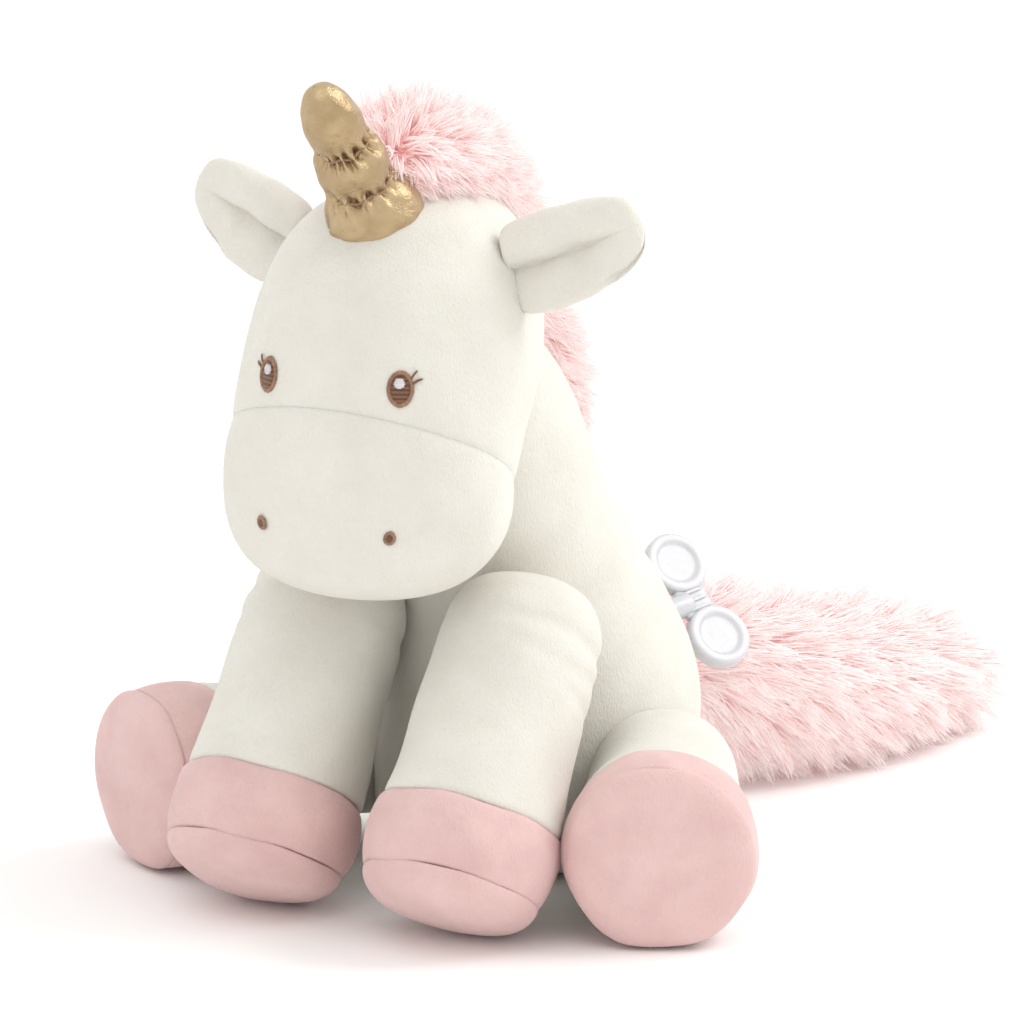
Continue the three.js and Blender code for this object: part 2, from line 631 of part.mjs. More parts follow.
// Bedplate, and the winding parts on the shaft's line.
const PLATE_TOP = -26.2;
const PLATE = -27.8;
inMovement("bedplate", brass, without(slab(-12.9, 24.9, -13.9, 13.9, PLATE, PLATE_TOP), shaftPass));
inMovement("barrel_wheel", brass, wheel(24, 11, 1.3, -29.5, -28.3, 2.6));
inMovement("spring_barrel", steel, turned([[2.6, -30.6], [7, -30.6], [7, -35.9], [7.6, -35.9], [7.6, -29.8], [2.6, -29.8], [2.6, -30.6]]));
inMovement("mainspring", steel, spiral(3.4, 6.2, 3, 0.3, -35.6, -31));
inMovement("winding_shaft", steel, rod(2.2, -36.2, 14.5, 12));
inMovement(
  "back_eyelet",
  whitePlastic,
  turned([[2.9, -7], [4.2, -7], [4.2, 1.2], [8, 1.2], [7.4, 2.6], [2.9, 2.6], [2.9, -7]], 18),
);

// The key: two finger discs with sunk faces, a ribbed bridge and a stem over the shaft.
const finger = (side) => {
  const at = alongY(side * KEY.apart, 0, KEY.out);
  const half = KEY.thickness / 2;
  const sunk = (from, to) => solid(rod(KEY.disc - 2.6, from, to, 24), at);
  return without(solid(rod(KEY.disc, -half, half, 28), at), sunk(half - 1, half + 1), sunk(-half - 1, 1 - half));
};
const keyRibs = [-2.4, 0, 2.4].map((x) => slab(x - 0.5, x + 0.5, -2.6, 2.6, KEY.out - 6, KEY.out + 3.5));
const keyBody = [
  finger(1),
  finger(-1),
  slab(-5, 5, -1.8, 1.8, KEY.out - 7, KEY.out + 4.5),
  solid(rod(KEY.stem, 4.5, KEY.out - 3, 16)),
  ...keyRibs,
].reduce((a, b) => a.add(b));
inMovement("winding_key", whitePlastic, keyBody.subtract(solid(rod(KEY.bore, 0, 15, 12))));

// The drum lies outwards from the barrel, under the edge of the barrel wheel.
const DRUM = { z: -34.2, from: 13.4, to: 23.6, radius: 4.9, pins: 9, pinHeight: 0.6 };
const drumAt = alongX(0, 0, DRUM.z);
const pins = Array.from({ length: DRUM.pins }, (_, i) => {
  const place = drumAt
    .clone()
    .multiply(new THREE.Matrix4().makeRotationZ(2.4 * i))
    .multiply(move(DRUM.radius, 0, DRUM.from + 0.8 + (i * (DRUM.to - DRUM.from - 1.6)) / (DRUM.pins - 1)));
  return solid(new THREE.BoxGeometry(2 * DRUM.pinHeight, 0.4, 0.4), place);
});
const drum = [
  solid(rod(DRUM.radius, DRUM.from, DRUM.to, 24), drumAt),
  solid(rod(0.8, 8, 25, 8), drumAt),
  solid(wheel(16, 3.8, 0.8, 8.4, 10.8), drumAt),
  solid(wheel(20, 5.2, 0.8, 11.6, 12.9), drumAt),
  ...pins,
].reduce((a, b) => a.add(b));
inMovement("music_drum", brass, drum);
inMovement(
  "drum_bracket",
  brass,
  slab(24, 24.9, -3, 3, -38, PLATE - GAP).subtract(solid(rod(1.1, 20, 30, 10), drumAt)),
);

// The comb and its block, held by two screws.
const COMB = { teeth: 8, from: 13.2, to: 23.6, tip: -5.9, root: -9.6, back: -13.8 };
const pitch = (COMB.to - COMB.from) / COMB.teeth;
const slots = Array.from({ length: COMB.teeth - 1 }, (_, i) => {
  const x = COMB.from + pitch * (i + 1);
  return slab(x - 0.15, x + 0.15, COMB.root, COMB.tip + 1, -36, -33);
});
const screwX = [15.6, 21.2];
const screwHoles = screwX.map((x) => solid(rod(1.1, -40, -30, 10), move(x, -11.8, 0)));
inMovement("comb", steel, without(slab(COMB.from, COMB.to, COMB.back, COMB.tip, -34.7, -33.7), ...slots, ...screwHoles));
inMovement("comb_block", brass, without(slab(COMB.from, COMB.to, COMB.back, -10, -33.4, PLATE - GAP), ...screwHoles));
screwX.forEach((x, i) => {
  const profile = [[0, -36.4], [1.6, -36.4], [1.6, -35], [0.8, -35], [0.8, -30.3], [0, -30.3]];
  inMovement(`comb_screw_${i + 1}`, steel, turned(profile, 10).translate(x, -11.8, 0));
});

// The speeding-up wheel and the governor with its fan.
const SECOND = { y: 9.1, z: DRUM.z };
const secondAt = alongX(0, SECOND.y, SECOND.z);
const second = [
  solid(rod(0.8, 7.9, 13.2, 8), secondAt),
  solid(wheel(20, 3.9, 0.6, 8.4, 10.8), secondAt),
  solid(wheel(10, 3.6, 0.8, 11.6, 12.9), secondAt),
].reduce((a, b) => a.add(b));
inMovement("second_wheel", brass, second);
const GOVERNOR = { x: 9.6, z: -39.5 };
const governorAt = alongY(GOVERNOR.x, 0, GOVERNOR.z);
const governor = [
  solid(rod(0.6, -8.6, 13.9, 8), governorAt),
  solid(rod(1.1, 7.4, 11.4, 10), governorAt),
  solid(new THREE.BoxGeometry(5.6, 0.8, 1.6), governorAt.clone().multiply(move(0, 0, -7.4))),
].reduce((a, b) => a.add(b));
inMovement("governor", steel, governor);
inMovement(
  "governor_bracket",
  brass,
  without(slab(6.5, 13.5, 13.3, 14.1, -42, PLATE - GAP), solid(rod(0.9, 10, 16, 8), governorAt)),
);

export default unicorn;
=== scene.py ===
# %% [markdown]
# # A plush unicorn with a music movement
# The toy is a set of stuffed cloth shapes sewn together: a torso, a head of two panels, four legs
# with velour hooves, two folded ears and a gathered gold horn. A mane and a tail of long pile are
# sewn on, and the key of a wind-up movement comes out of the back. Every piece below is worked out
# in millimetres as a surface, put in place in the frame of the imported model, and rides on a body.

# %% Load the frame
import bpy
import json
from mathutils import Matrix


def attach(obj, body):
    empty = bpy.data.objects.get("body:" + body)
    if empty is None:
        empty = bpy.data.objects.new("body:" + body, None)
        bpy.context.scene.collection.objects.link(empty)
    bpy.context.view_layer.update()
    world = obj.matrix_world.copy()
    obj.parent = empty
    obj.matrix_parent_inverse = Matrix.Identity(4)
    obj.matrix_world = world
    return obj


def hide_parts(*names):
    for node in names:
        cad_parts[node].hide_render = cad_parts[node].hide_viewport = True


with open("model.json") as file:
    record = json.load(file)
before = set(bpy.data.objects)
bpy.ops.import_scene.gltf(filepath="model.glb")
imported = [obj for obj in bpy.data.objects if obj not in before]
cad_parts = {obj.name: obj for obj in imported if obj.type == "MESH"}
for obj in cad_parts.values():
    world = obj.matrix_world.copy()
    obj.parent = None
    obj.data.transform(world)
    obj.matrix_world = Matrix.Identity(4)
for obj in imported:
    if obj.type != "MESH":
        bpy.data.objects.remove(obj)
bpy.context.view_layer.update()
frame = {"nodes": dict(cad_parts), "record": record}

import json
import math

import bpy
import numpy as np
from mathutils import Vector

MM = 0.001

# %% [markdown]
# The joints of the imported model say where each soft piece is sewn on, so they are the anchors for
# the shapes. The key's joint gives the line of the shaft, and the drum's joint runs along the key.

# %% Anchors from the joints
joints = {j["name"]: j for j in frame["record"]["behaviour"]["joints"]}


def pivot(joint):
    """The joint's point, in millimetres."""
    return np.array(joints[joint]["pos_m"]) * 1000


def axis(joint):
    """The joint's axis, as a unit vector."""
    line = np.array(joints[joint]["axis"], float)
    return line / np.linalg.norm(line)


SHOULDER = pivot("front_leg_left_lift")
HIP = pivot("hind_leg_left_splay")
TAIL_BASE = pivot("tail_swing")
print("shoulder", SHOULDER, "hip", HIP, "tail", TAIL_BASE)

# %% [markdown]
# ## Camera and light
# A long lens from two metres keeps the sides of the toy nearly parallel. The camera looks at a
# point in the toy's chest. One large soft light stands high behind the toy's left side, a weak one
# high in front, and a white world gives most of the light.

# %% Camera
LOOK_AT = np.array([15.0, -32.0, 118.0])
AZIMUTH, ELEVATION = math.radians(30), math.radians(12.6)
DISTANCE = 2000.0
VIEW_WIDTH = 317.4  # millimetres across the picture at the toy


def toward_camera(azimuth, elevation):
    """Unit vector from the toy to the camera: azimuth 0 stands in front, along -Y."""
    flat = math.cos(elevation)
    return np.array([math.sin(azimuth) * flat, -math.cos(azimuth) * flat, math.sin(elevation)])


camera_data = bpy.data.cameras.new("camera")
camera_data.sensor_width = 36
camera_data.lens = 36 * DISTANCE / VIEW_WIDTH
camera_data.clip_end = 20
camera = bpy.data.objects.new("camera", camera_data)
bpy.context.scene.collection.objects.link(camera)
backwards = toward_camera(AZIMUTH, ELEVATION)
camera.location = Vector((LOOK_AT + backwards * DISTANCE) * MM)
camera.rotation_euler = Vector(backwards).to_track_quat("Z", "Y").to_euler()
bpy.context.scene.camera = camera
print("lens", round(camera_data.lens, 1), "mm")

# %% Lights


def soft_light(name, azimuth, elevation, distance, size, watts, colour):
    """A square area light on a sphere round the toy, facing the toy's middle."""
    data = bpy.data.lights.new(name, "AREA")
    data.size, data.energy, data.color = size, watts, colour
    lamp = bpy.data.objects.new(name, data)
    bpy.context.scene.collection.objects.link(lamp)
    out = toward_camera(math.radians(azimuth), math.radians(elevation))
    lamp.location = Vector(LOOK_AT * MM + out * distance)
    lamp.rotation_euler = Vector(out).to_track_quat("Z", "Y").to_euler()
    return lamp


soft_light("key_light", 128, 42, 1.3, 0.7, 7.0, (1, 1, 1))
soft_light("fill_light", 10, 60, 1.6, 0.8, 1.6, (1, 0.99, 0.97))

world = bpy.data.worlds.new("studio")
world.use_nodes = True
world.node_tree.nodes["Background"].inputs["Color"].default_value = (1, 0.995, 0.985, 1)
world.node_tree.nodes["Background"].inputs["Strength"].default_value = 1.06
bpy.context.scene.world = world
bpy.context.scene.view_settings.view_transform = "Standard"

# %% [markdown]
# ## Cloth, pile, thread, plastic and metal
# Minky and velour are short-pile cloths: matt, with a pale bloom at grazing angles that the
# shader's sheen gives, and a nap that lies in faint patches. Long pile's colour follows an
# attribute that runs from root to tip: painted shade makes it deeper pink near the roots, and
# painted light makes it paler at the tips. Lame is cloth with a metal face, finely crinkled.
# Each finish reads the piece's Object coordinates or its own attributes.

# %% Material helpers


class Finish:
    """A material under construction: its node tree and its Principled shader."""

    def __init__(self, name, **values):
        self.material = bpy.data.materials.new(name)
        self.material.use_nodes = True
        self.tree = self.material.node_tree
        self.shader = self.tree.nodes["Principled BSDF"]
        self.coordinates = self.tree.nodes.new("ShaderNodeTexCoord").outputs["Object"]
        for socket, value in values.items():
            self.shader.inputs[socket.replace("_", " ")].default_value = value

    def add(self, kind, inputs=(), **settings):
        """A node with its settings and inputs; an input is a value or another node's output."""
        node = self.tree.nodes.new(kind)
        for name, value in settings.items():
            setattr(node, name, value)
        for socket, value in dict(inputs).items():
            if isinstance(value, bpy.types.NodeSocket):
                self.tree.links.new(value, node.inputs[socket])
            else:
                node.inputs[socket].default_value = value
        return node

    def stretched(self, scale):
        """Object coordinates multiplied by scale, which stretches a pattern."""
        return self.add("ShaderNodeMapping", {"Vector": self.coordinates, "Scale": scale}).outputs["Vector"]

    def noise(self, per_metre, detail=2.0, vector=None, rough=0.5):
        """Soft random patches, so many to the metre."""
        vector = vector or self.coordinates
        inputs = {"Vector": vector, "Scale": per_metre, "Detail": detail, "Roughness": rough}
        return self.add("ShaderNodeTexNoise", inputs).outputs["Fac"]

    def ramp(self, factor, *stops):
        """Colours by position from 0 to 1."""
        node = self.add("ShaderNodeValToRGB", {"Fac": factor})
        elements = node.color_ramp.elements
        while len(elements) < len(stops):
            elements.new(0.5)
        for element, (place, colour) in zip(elements, stops):
            element.position, element.color = place, (*colour, 1)
        return node.outputs["Color"]

    def blend(self, factor, a, b, mode="MIX"):
        """Colour a turning to colour b as the factor grows."""
        node = self.add("ShaderNodeMix", data_type="RGBA", blend_type=mode)
        for socket, value in zip((node.inputs["Factor"], node.inputs[6], node.inputs[7]), (factor, a, b)):
            if isinstance(value, bpy.types.NodeSocket):
                self.tree.links.new(value, socket)
            else:
                socket.default_value = value if isinstance(value, float) else (*value, 1)
        return node.outputs[2]

    def colour(self, output):
        self.tree.links.new(output, self.shader.inputs["Base Color"])

    def roughness(self, output):
        self.tree.links.new(output, self.shader.inputs["Roughness"])

    def bump(self, *layers):
        """Relief in metres: each layer is a pattern and its depth."""
        normal = None
        for pattern, depth in layers:
            inputs = {"Height": pattern, "Distance": depth, "Strength": 1.0}
            if normal:
                inputs["Normal"] = normal
            normal = self.add("ShaderNodeBump", inputs).outputs["Normal"]
        self.tree.links.new(normal, self.shader.inputs["Normal"])


def short_pile(name, light, dark, sheen, bloom):
    """Minky or velour: patches of nap, single fibres in the relief, and a pale bloom."""
    finish = Finish(
        name, Roughness=0.92, Sheen_Weight=sheen, Sheen_Roughness=0.45, Sheen_Tint=(*bloom, 1),
        Specular_IOR_Level=0.2, Subsurface_Weight=0.25, Subsurface_Scale=0.003,
        Subsurface_Radius=(1.0, 0.85, 0.75),
    )
    nap = finish.noise(55, 3, rough=0.55)
    fibres = finish.noise(1500, 2, finish.stretched((1, 1, 0.45)))
    fine = finish.noise(3800, 1)
    patches = finish.ramp(nap, (0.3, dark), (0.7, light))
    finish.colour(finish.blend(finish.ramp(fibres, (0.3, (0.9, 0.9, 0.9)), (0.65, (1, 1, 1))), dark, patches))
    finish.bump((nap, 0.0006), (fibres, 0.00035), (fine, 0.00012))
    return finish.material


WHITE_MINKY = short_pile("white_minky", (0.765, 0.745, 0.685), (0.715, 0.692, 0.628), 0.15, (1, 0.99, 0.95))
PINK_VELOUR = short_pile("pink_velour", (0.760, 0.545, 0.525), (0.670, 0.455, 0.440), 0.25, (1, 0.85, 0.84))

# %% Long pile, lame, thread, plastic and metal


def long_pile(name, root, middle, tip):
    """Colour by the place along each strand: painted shade makes the roots deeper pink, deep in
    the pile, and painted light makes the tips paler. Real fibres are half clear and pass light on
    to each other, so a little emission of the same colour stands for the light inside the pile."""
    finish = Finish(name, Roughness=0.7, Sheen_Weight=0.25, Sheen_Roughness=0.4, Specular_IOR_Level=0.25,
                    Subsurface_Weight=0.2, Subsurface_Scale=0.004, Subsurface_Radius=(1.0, 0.6, 0.55))
    along = finish.add("ShaderNodeAttribute", attribute_name="along").outputs["Fac"]
    shade = finish.add("ShaderNodeAttribute", attribute_name="shade").outputs["Fac"]
    # painted shade: deeper pink towards the roots; painted light: paler towards the tips
    base = finish.ramp(along, (0.0, root), (0.45, middle), (0.9, tip))
    tint = finish.ramp(shade, (0.0, (1, 0.90, 0.895)), (0.6, (1, 1, 1)))
    finish.colour(finish.blend(1.0, base, tint, "MULTIPLY"))
    colour = finish.shader.inputs["Base Color"].links[0].from_socket
    finish.tree.links.new(colour, finish.shader.inputs["Emission Color"])
    finish.shader.inputs["Emission Strength"].default_value = 0.15
    finish.bump((finish.noise(1800, 1), 0.0001))
    return finish.material


PINK_PILE = long_pile("pink_long_pile", (0.95, 0.49, 0.46), (0.985, 0.755, 0.74), (0.99, 0.87, 0.86))


def lame(name, light, dark):
    """Metal-faced cloth: a fine crinkle that breaks the highlights up, over faint dull patches."""
    finish = Finish(name, Metallic=0.92, Roughness=0.36, Sheen_Weight=0.1)
    crinkle = finish.noise(420, 4, rough=0.6)
    cells = finish.add("ShaderNodeTexVoronoi", {"Vector": finish.coordinates, "Scale": 1900})
    weave = cells.outputs["Distance"]
    patches = finish.noise(90, 2)
    finish.colour(finish.ramp(patches, (0.3, dark), (0.65, light)))
    finish.roughness(finish.ramp(crinkle, (0.3, (0.28,) * 3), (0.7, (0.46,) * 3)))
    finish.bump((crinkle, 0.0005), (weave, 0.00008))
    return finish.material


GOLD_LAME = lame("gold_lame", (0.52, 0.39, 0.23), (0.40, 0.285, 0.155))


def thread(name, light, dark):
    """Embroidery thread: a soft gloss, a fine grain in the relief, and stitches that differ."""
    finish = Finish(name, Roughness=0.45, Sheen_Weight=0.3, Specular_IOR_Level=0.5)
    shade = finish.add("ShaderNodeAttribute", attribute_name="shade").outputs["Fac"]
    finish.colour(finish.ramp(shade, (0.0, dark), (1.0, light)))
    finish.bump((finish.noise(4200, 1), 0.0001))
    return finish.material


BROWN_THREAD = thread("brown_thread", (0.23, 0.105, 0.050), (0.10, 0.040, 0.018))
TAN_THREAD = thread("tan_thread", (0.40, 0.22, 0.13), (0.24, 0.12, 0.065))
WHITE_THREAD = thread("white_thread", (0.74, 0.71, 0.72), (0.50, 0.47, 0.50))


def moulded(name, colour):
    """Moulded plastic: glossy, a little translucent, with the faint ripple of the mould."""
    finish = Finish(name, Roughness=0.25, Specular_IOR_Level=0.5, Subsurface_Weight=0.15,
                    Subsurface_Scale=0.003, Coat_Weight=0.15)
    ripple = finish.noise(160, 2)
    finish.colour(finish.ramp(ripple, (0.2, tuple(c * 0.96 for c in colour)), (0.8, colour)))
    finish.roughness(finish.ramp(ripple, (0.2, (0.22,) * 3), (0.8, (0.34,) * 3)))
    finish.bump((ripple, 0.0002), (finish.noise(2600, 1), 0.00002))
    return finish.material


WHITE_PLASTIC = moulded("white_plastic", (0.60, 0.605, 0.63))


def brushed(name, colour, dull):
    """Worked metal: brush lines one way and slightly darker patches."""
    finish = Finish(name, Metallic=1.0)
    lines = finish.noise(900, 2, finish.stretched((1, 1, 0.04)))
    finish.colour(finish.ramp(finish.noise(120, 2), (0.3, dull), (0.7, colour)))
    finish.roughness(finish.ramp(lines, (0.3, (0.26,) * 3), (0.7, (0.42,) * 3)))
    finish.bump((lines, 0.00003))
    return finish.material


STEEL = brushed("steel", (0.66, 0.67, 0.68), (0.52, 0.53, 0.55))
BRASS = brushed("brass", (0.78, 0.58, 0.27), (0.62, 0.44, 0.18))


def loose_fibre(name):
    """Stuffing: white, very matt, matted in tufts."""
    finish = Finish(name, Roughness=1.0, Sheen_Weight=0.3)
    tufts = finish.noise(220, 5, rough=0.7)
    finish.colour(finish.ramp(tufts, (0.3, (0.78, 0.78, 0.78)), (0.6, (0.94, 0.94, 0.94))))
    finish.bump((tufts, 0.001))
    return finish.material


STUFFING = loose_fibre("polyester_fibre")

# %% [markdown]
# ## From numbers to meshes
# Every new piece is a grid of points: rows run along the piece and columns run round it. One
# helper joins neighbours with quads and closes both ends, and turns the faces outwards by the
# sign of the enclosed volume.

# %% Mesh helpers


def make_object(name, vertices, quads, triangles, material, attributes=None):
    """A smooth mesh object from whole arrays, in millimetres, at the origin."""
    quads = np.asarray(quads, np.int32).reshape(-1, 4)
    triangles = np.asarray(triangles, np.int32).reshape(-1, 3)
    mesh = bpy.data.meshes.new(name)
    mesh.vertices.add(len(vertices))
    mesh.vertices.foreach_set("co", np.asarray(vertices * MM, np.float32).ravel())
    mesh.loops.add(quads.size + triangles.size)
    mesh.loops.foreach_set("vertex_index", np.concatenate([quads.ravel(), triangles.ravel()]))
    starts = np.concatenate([np.arange(len(quads)) * 4, quads.size + np.arange(len(triangles)) * 3])
    mesh.polygons.add(len(starts))
    mesh.polygons.foreach_set("loop_start", starts.astype(np.int32))
    mesh.polygons.foreach_set("use_smooth", np.ones(len(starts), bool))
    for label, values in (attributes or {}).items():
        data = mesh.attributes.new(label, "FLOAT", "POINT").data
        data.foreach_set("value", values.astype(np.float32).ravel())
    mesh.materials.append(material)
    mesh.update(calc_edges=True)
    mesh.validate()
    piece = bpy.data.objects.new(name, mesh)
    bpy.context.scene.collection.objects.link(piece)
    return piece


def grid_faces(rows, columns):
    """Quads between neighbouring rows, the last column joining the first, and a fan at each end
    whose middle points are numbered after the grid."""
    r = np.arange(rows - 1)[:, None] * columns
    c = np.arange(columns)[None, :]
    after = (c + 1) % columns
    quads = np.stack([r + c, r + after, r + columns + after, r + columns + c], -1).reshape(-1, 4)
    start, end = rows * columns, rows * columns + 1
    last = (rows - 1) * columns
    first_fan = np.stack([np.full(columns, start), after[0], c[0]], -1)
    last_fan = np.stack([np.full(columns, end), last + c[0], last + after[0]], -1)
    return quads, np.concatenate([first_fan, last_fan])


def enclosed(vertices, triangles):
    """Volume inside a closed mesh: the sum of the signed volumes from the origin to each face."""
    a, b, c = (vertices[triangles[:, k]] for k in range(3))
    return float(np.einsum("ij,ij->i", a, np.cross(b, c)).sum() / 6)


def closed_grid(name, points, material, attributes=None):
    """A closed surface from points shaped rows x columns x 3."""
    rows, columns = points.shape[:2]
    ends = np.stack([points[0].mean(0), points[-1].mean(0)])
    vertices = np.concatenate([points.reshape(-1, 3), ends])
    quads, fans = grid_faces(rows, columns)
    split = np.concatenate([quads[:, [0, 1, 2]], quads[:, [0, 2, 3]], fans])
    if enclosed(vertices - vertices.mean(0), split) < 0:
        quads, fans = quads[:, ::-1], fans[:, ::-1]
    values = {}
    for label, value in (attributes or {}).items():
        value = value.ravel()
        values[label] = np.concatenate([value, value[[0, -1]]])
    return make_object(name, vertices, quads, fans, material, values)


def mirrored(points):
    """The other side's twin, in the plane x = 0."""
    return points * np.array([-1, 1, 1])


# %% Curves, lumps and folds


def smooth_through(stations, t):
    """Catmull-Rom curve: at whole numbers of t it passes through the stations."""
    stations = np.asarray(stations, float)
    t = np.clip(t, 0, len(stations) - 1)
    i = np.minimum(np.floor(t).astype(int), len(stations) - 2)
    f = (t - i)[..., None]
    last = len(stations) - 1
    p0, p1, p2, p3 = (stations[np.clip(i + k, 0, last)] for k in (-1, 0, 1, 2))
    slope, curve, rest = p2 - p0, 2 * p0 - 5 * p1 + 4 * p2 - p3, 3 * (p1 - p2) + p3 - p0
    return 0.5 * (2 * p1 + slope * f + curve * f**2 + rest * f**3)


def lumps(points, size, seed, waves=7):
    """Uneven stuffing: a sum of sine waves in random directions, about size millimetres apart."""
    rng = np.random.default_rng(seed)
    directions = rng.normal(size=(waves, 3))
    directions *= (2 * np.pi / size) / np.linalg.norm(directions, axis=1, keepdims=True)
    directions *= rng.uniform(0.7, 1.5, (waves, 1))
    phases = rng.uniform(0, 2 * np.pi, waves)
    return np.sin(points @ directions.T + phases).sum(-1) / math.sqrt(waves)


def normals_of(points):
    """Unit normals of a grid: the cross product of its row and column directions, facing out."""
    along = np.gradient(points, axis=0)
    around = np.roll(points, -1, 1) - np.roll(points, 1, 1)
    normal = np.cross(around, along)
    normal /= np.maximum(np.linalg.norm(normal, axis=-1, keepdims=True), 1e-9)
    out = points - points.mean(1, keepdims=True)
    return normal * np.sign((normal * out).sum()) if (normal * out).sum() else normal


def pushed(points, height):
    """Moves a grid along its own normals by height, in millimetres."""
    return points + normals_of(points) * height[..., None]


def on_floor(points, lowest=0.3, soft=1.2):
    """Rests a soft shape on the floor: what would be under it is pressed flat."""
    lifted = points.copy()
    h = (points[..., 2] - lowest) / soft
    lifted[..., 2] = lowest + soft * np.logaddexp(0, np.clip(h, -30, 30)) - 0.02
    lifted[..., 2] = np.where(h > 8, points[..., 2], lifted[..., 2])
    return lifted


def valley(distance, width):
    """1 in the middle of a crease and 0 away from it."""
    return np.exp(-((distance / width) ** 2))


ring = lambda count: np.linspace(0, 2 * np.pi, count, endpoint=False)

# %% [markdown]
# ## Torso
# The torso is sewn from two side panels, so it is full below and leans forward into the neck. Its
# shape is an egg-shaped section carried up the body. The legs are sewn on over it, which pulls
# the cloth in under each one. The neck runs on up into the head, so that a turn opens no gap.

# %% Torso
TORSO = [  # height, front, back, half width
    (0.5, -26, 40, 30), (1.2, -35, 49, 38), (5, -43, 56, 44.5), (14, -47, 61, 48.5), (30, -48, 64, 50),
    (49, -48, 64, 51), (66, -47, 58.5, 49.5), (82, -48, 49, 46), (98, -52, 37, 42), (114, -58, 26, 38.5),
    (128, -63, 16, 36), (142, -67, 7, 34), (156, -68, -2, 32), (168, -65, -12, 28.5), (178, -58, -22, 21),
    (183, -48, -32, 10),
]


def egg_section(station, widest, angle):
    """A section round the body: angle 0 is the front, a quarter turn is the toy's left. In front
    of its widest place it is one half ellipse, and behind it another."""
    z, front, back, half = np.moveaxis(station, -1, 0)
    middle = front + (back - front) * widest
    depth = np.where(np.cos(angle) > 0, middle - front, back - middle)
    return np.stack([half * np.sin(angle), middle - depth * np.cos(angle), z + 0 * angle], -1)


def torso_point(t, angle):
    return egg_section(smooth_through(TORSO, t), 0.5, angle)


t, a = np.meshgrid(np.linspace(0, len(TORSO) - 1, 150), ring(160), indexing="ij")
torso = torso_point(t, a)
tug = sum(
    valley(np.linalg.norm(torso - np.array([side * 44, -38, 52]), axis=-1), 16) for side in (-1, 1)
)
wrinkle = np.sin(0.32 * torso[..., 2] + 3 * np.cos(a)) * valley(torso[..., 2] - 104, 18) * 0.5
height = 0.7 * lumps(torso, 55, 3) - 1.2 * tug + wrinkle
height *= np.clip((torso[..., 2] - 2) / 20, 0, 1)
torso_piece = closed_grid("torso", pushed(torso, height), WHITE_MINKY)
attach(torso_piece, "torso")
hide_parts("torso_skin", "torso_filling")
print("torso", len(torso_piece.data.polygons), "faces")

# %% [markdown]
# ## Head
# Two panels make the head. One seam runs under the eyes and down to the back of the jaw, and both
# panels turn in at the seam. So one surface is worked out for the whole head, and each panel takes
# its share of it: the rows of the grid are spaced from the seam line, and sink near it.

# %% Head shape
HEAD = [  # height, front, back, half width
    (103, -97, -93, 3), (103.6, -104.5, -85, 12), (105.6, -112.5, -77, 22.5), (110, -119, -69, 33),
    (117, -122, -63, 40.5), (127, -122.8, -57, 45.5), (141, -122.4, -51, 47.3), (153, -120.8, -44, 47.2),
    (165, -119, -35, 46.5), (179, -117, -28, 45), (193, -113.5, -24, 42), (206, -107, -26, 36.5),
    (216, -98, -32, 29), (222.5, -88, -41, 19.5), (225.5, -78, -52, 10), (226, -69, -61, 3),
]
WIDEST = 0.4
SEAM_POINT = np.array([0, -119, 164.5])
SEAM_SLOPE = math.radians(31)


def head_point(t, angle):
    """A point of the head before its seam and stuffing are added."""
    return egg_section(smooth_through(HEAD, t), WIDEST, angle)


def above_seam(points):
    """Height over the seam's sloping plane."""
    away = points - SEAM_POINT
    return away[..., 2] * math.cos(SEAM_SLOPE) + away[..., 1] * math.sin(SEAM_SLOPE)


def seam_rows(angle):
    """For each column, how far up the stations the seam crosses it."""
    steps = np.linspace(0, len(HEAD) - 1, 400)
    heights = above_seam(head_point(*np.meshgrid(steps, angle, indexing="ij")))
    return np.array([np.interp(0, column, steps) for column in np.maximum.accumulate(heights, 0).T])


def head_relief(points):
    """Stuffing, the sunk seam, and the fuller muzzle just under it, in millimetres."""
    over = above_seam(points)
    seam = -0.4 * valley(over, 1.2) - 0.55 * valley(over, 5)
    muzzle = 0.6 * valley(over + 16, 13)
    facing = np.clip(-(points[..., 1] + 70) / 50, 0, 1)
    return 0.5 * lumps(points, 48, 11) + seam + muzzle * facing


columns = ring(176)
seam_at = seam_rows(columns)


def head_panel(low, high, rows, squeeze):
    """Rows from low to high, closer together towards the seam, carried round the head."""
    share = squeeze(np.linspace(0, 1, rows))[:, None]
    t = low + (high - low) * share
    return head_point(t, np.broadcast_to(columns, t.shape))


muzzle = head_panel(0 * seam_at, seam_at, 90, lambda q: 1 - (1 - q) ** 1.35)
brow = head_panel(seam_at, 0 * seam_at + len(HEAD) - 1, 100, lambda q: q**1.35)
panels = {}
for name, points, nodes in (
    ("muzzle_panel", muzzle, ["muzzle_skin"]),
    ("head_panel", brow, ["head_skin", "head_filling"]),
):
    panels[name] = closed_grid(name, pushed(points, head_relief(points)), WHITE_MINKY)
    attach(panels[name], "head")
    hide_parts(*nodes)
    print(name, len(panels[name].data.polygons), "faces")

# %% [markdown]
# ## Legs and hooves
# A leg is a stuffed tube with a round top, sewn to the body. A velour cuff is sewn to its lower
# edge and a domed sole closes it. In its own frame a leg hangs down from its joint; a bend turns
# the hoof, and one turn and shift puts it on the toy. The right leg is the left one mirrored.

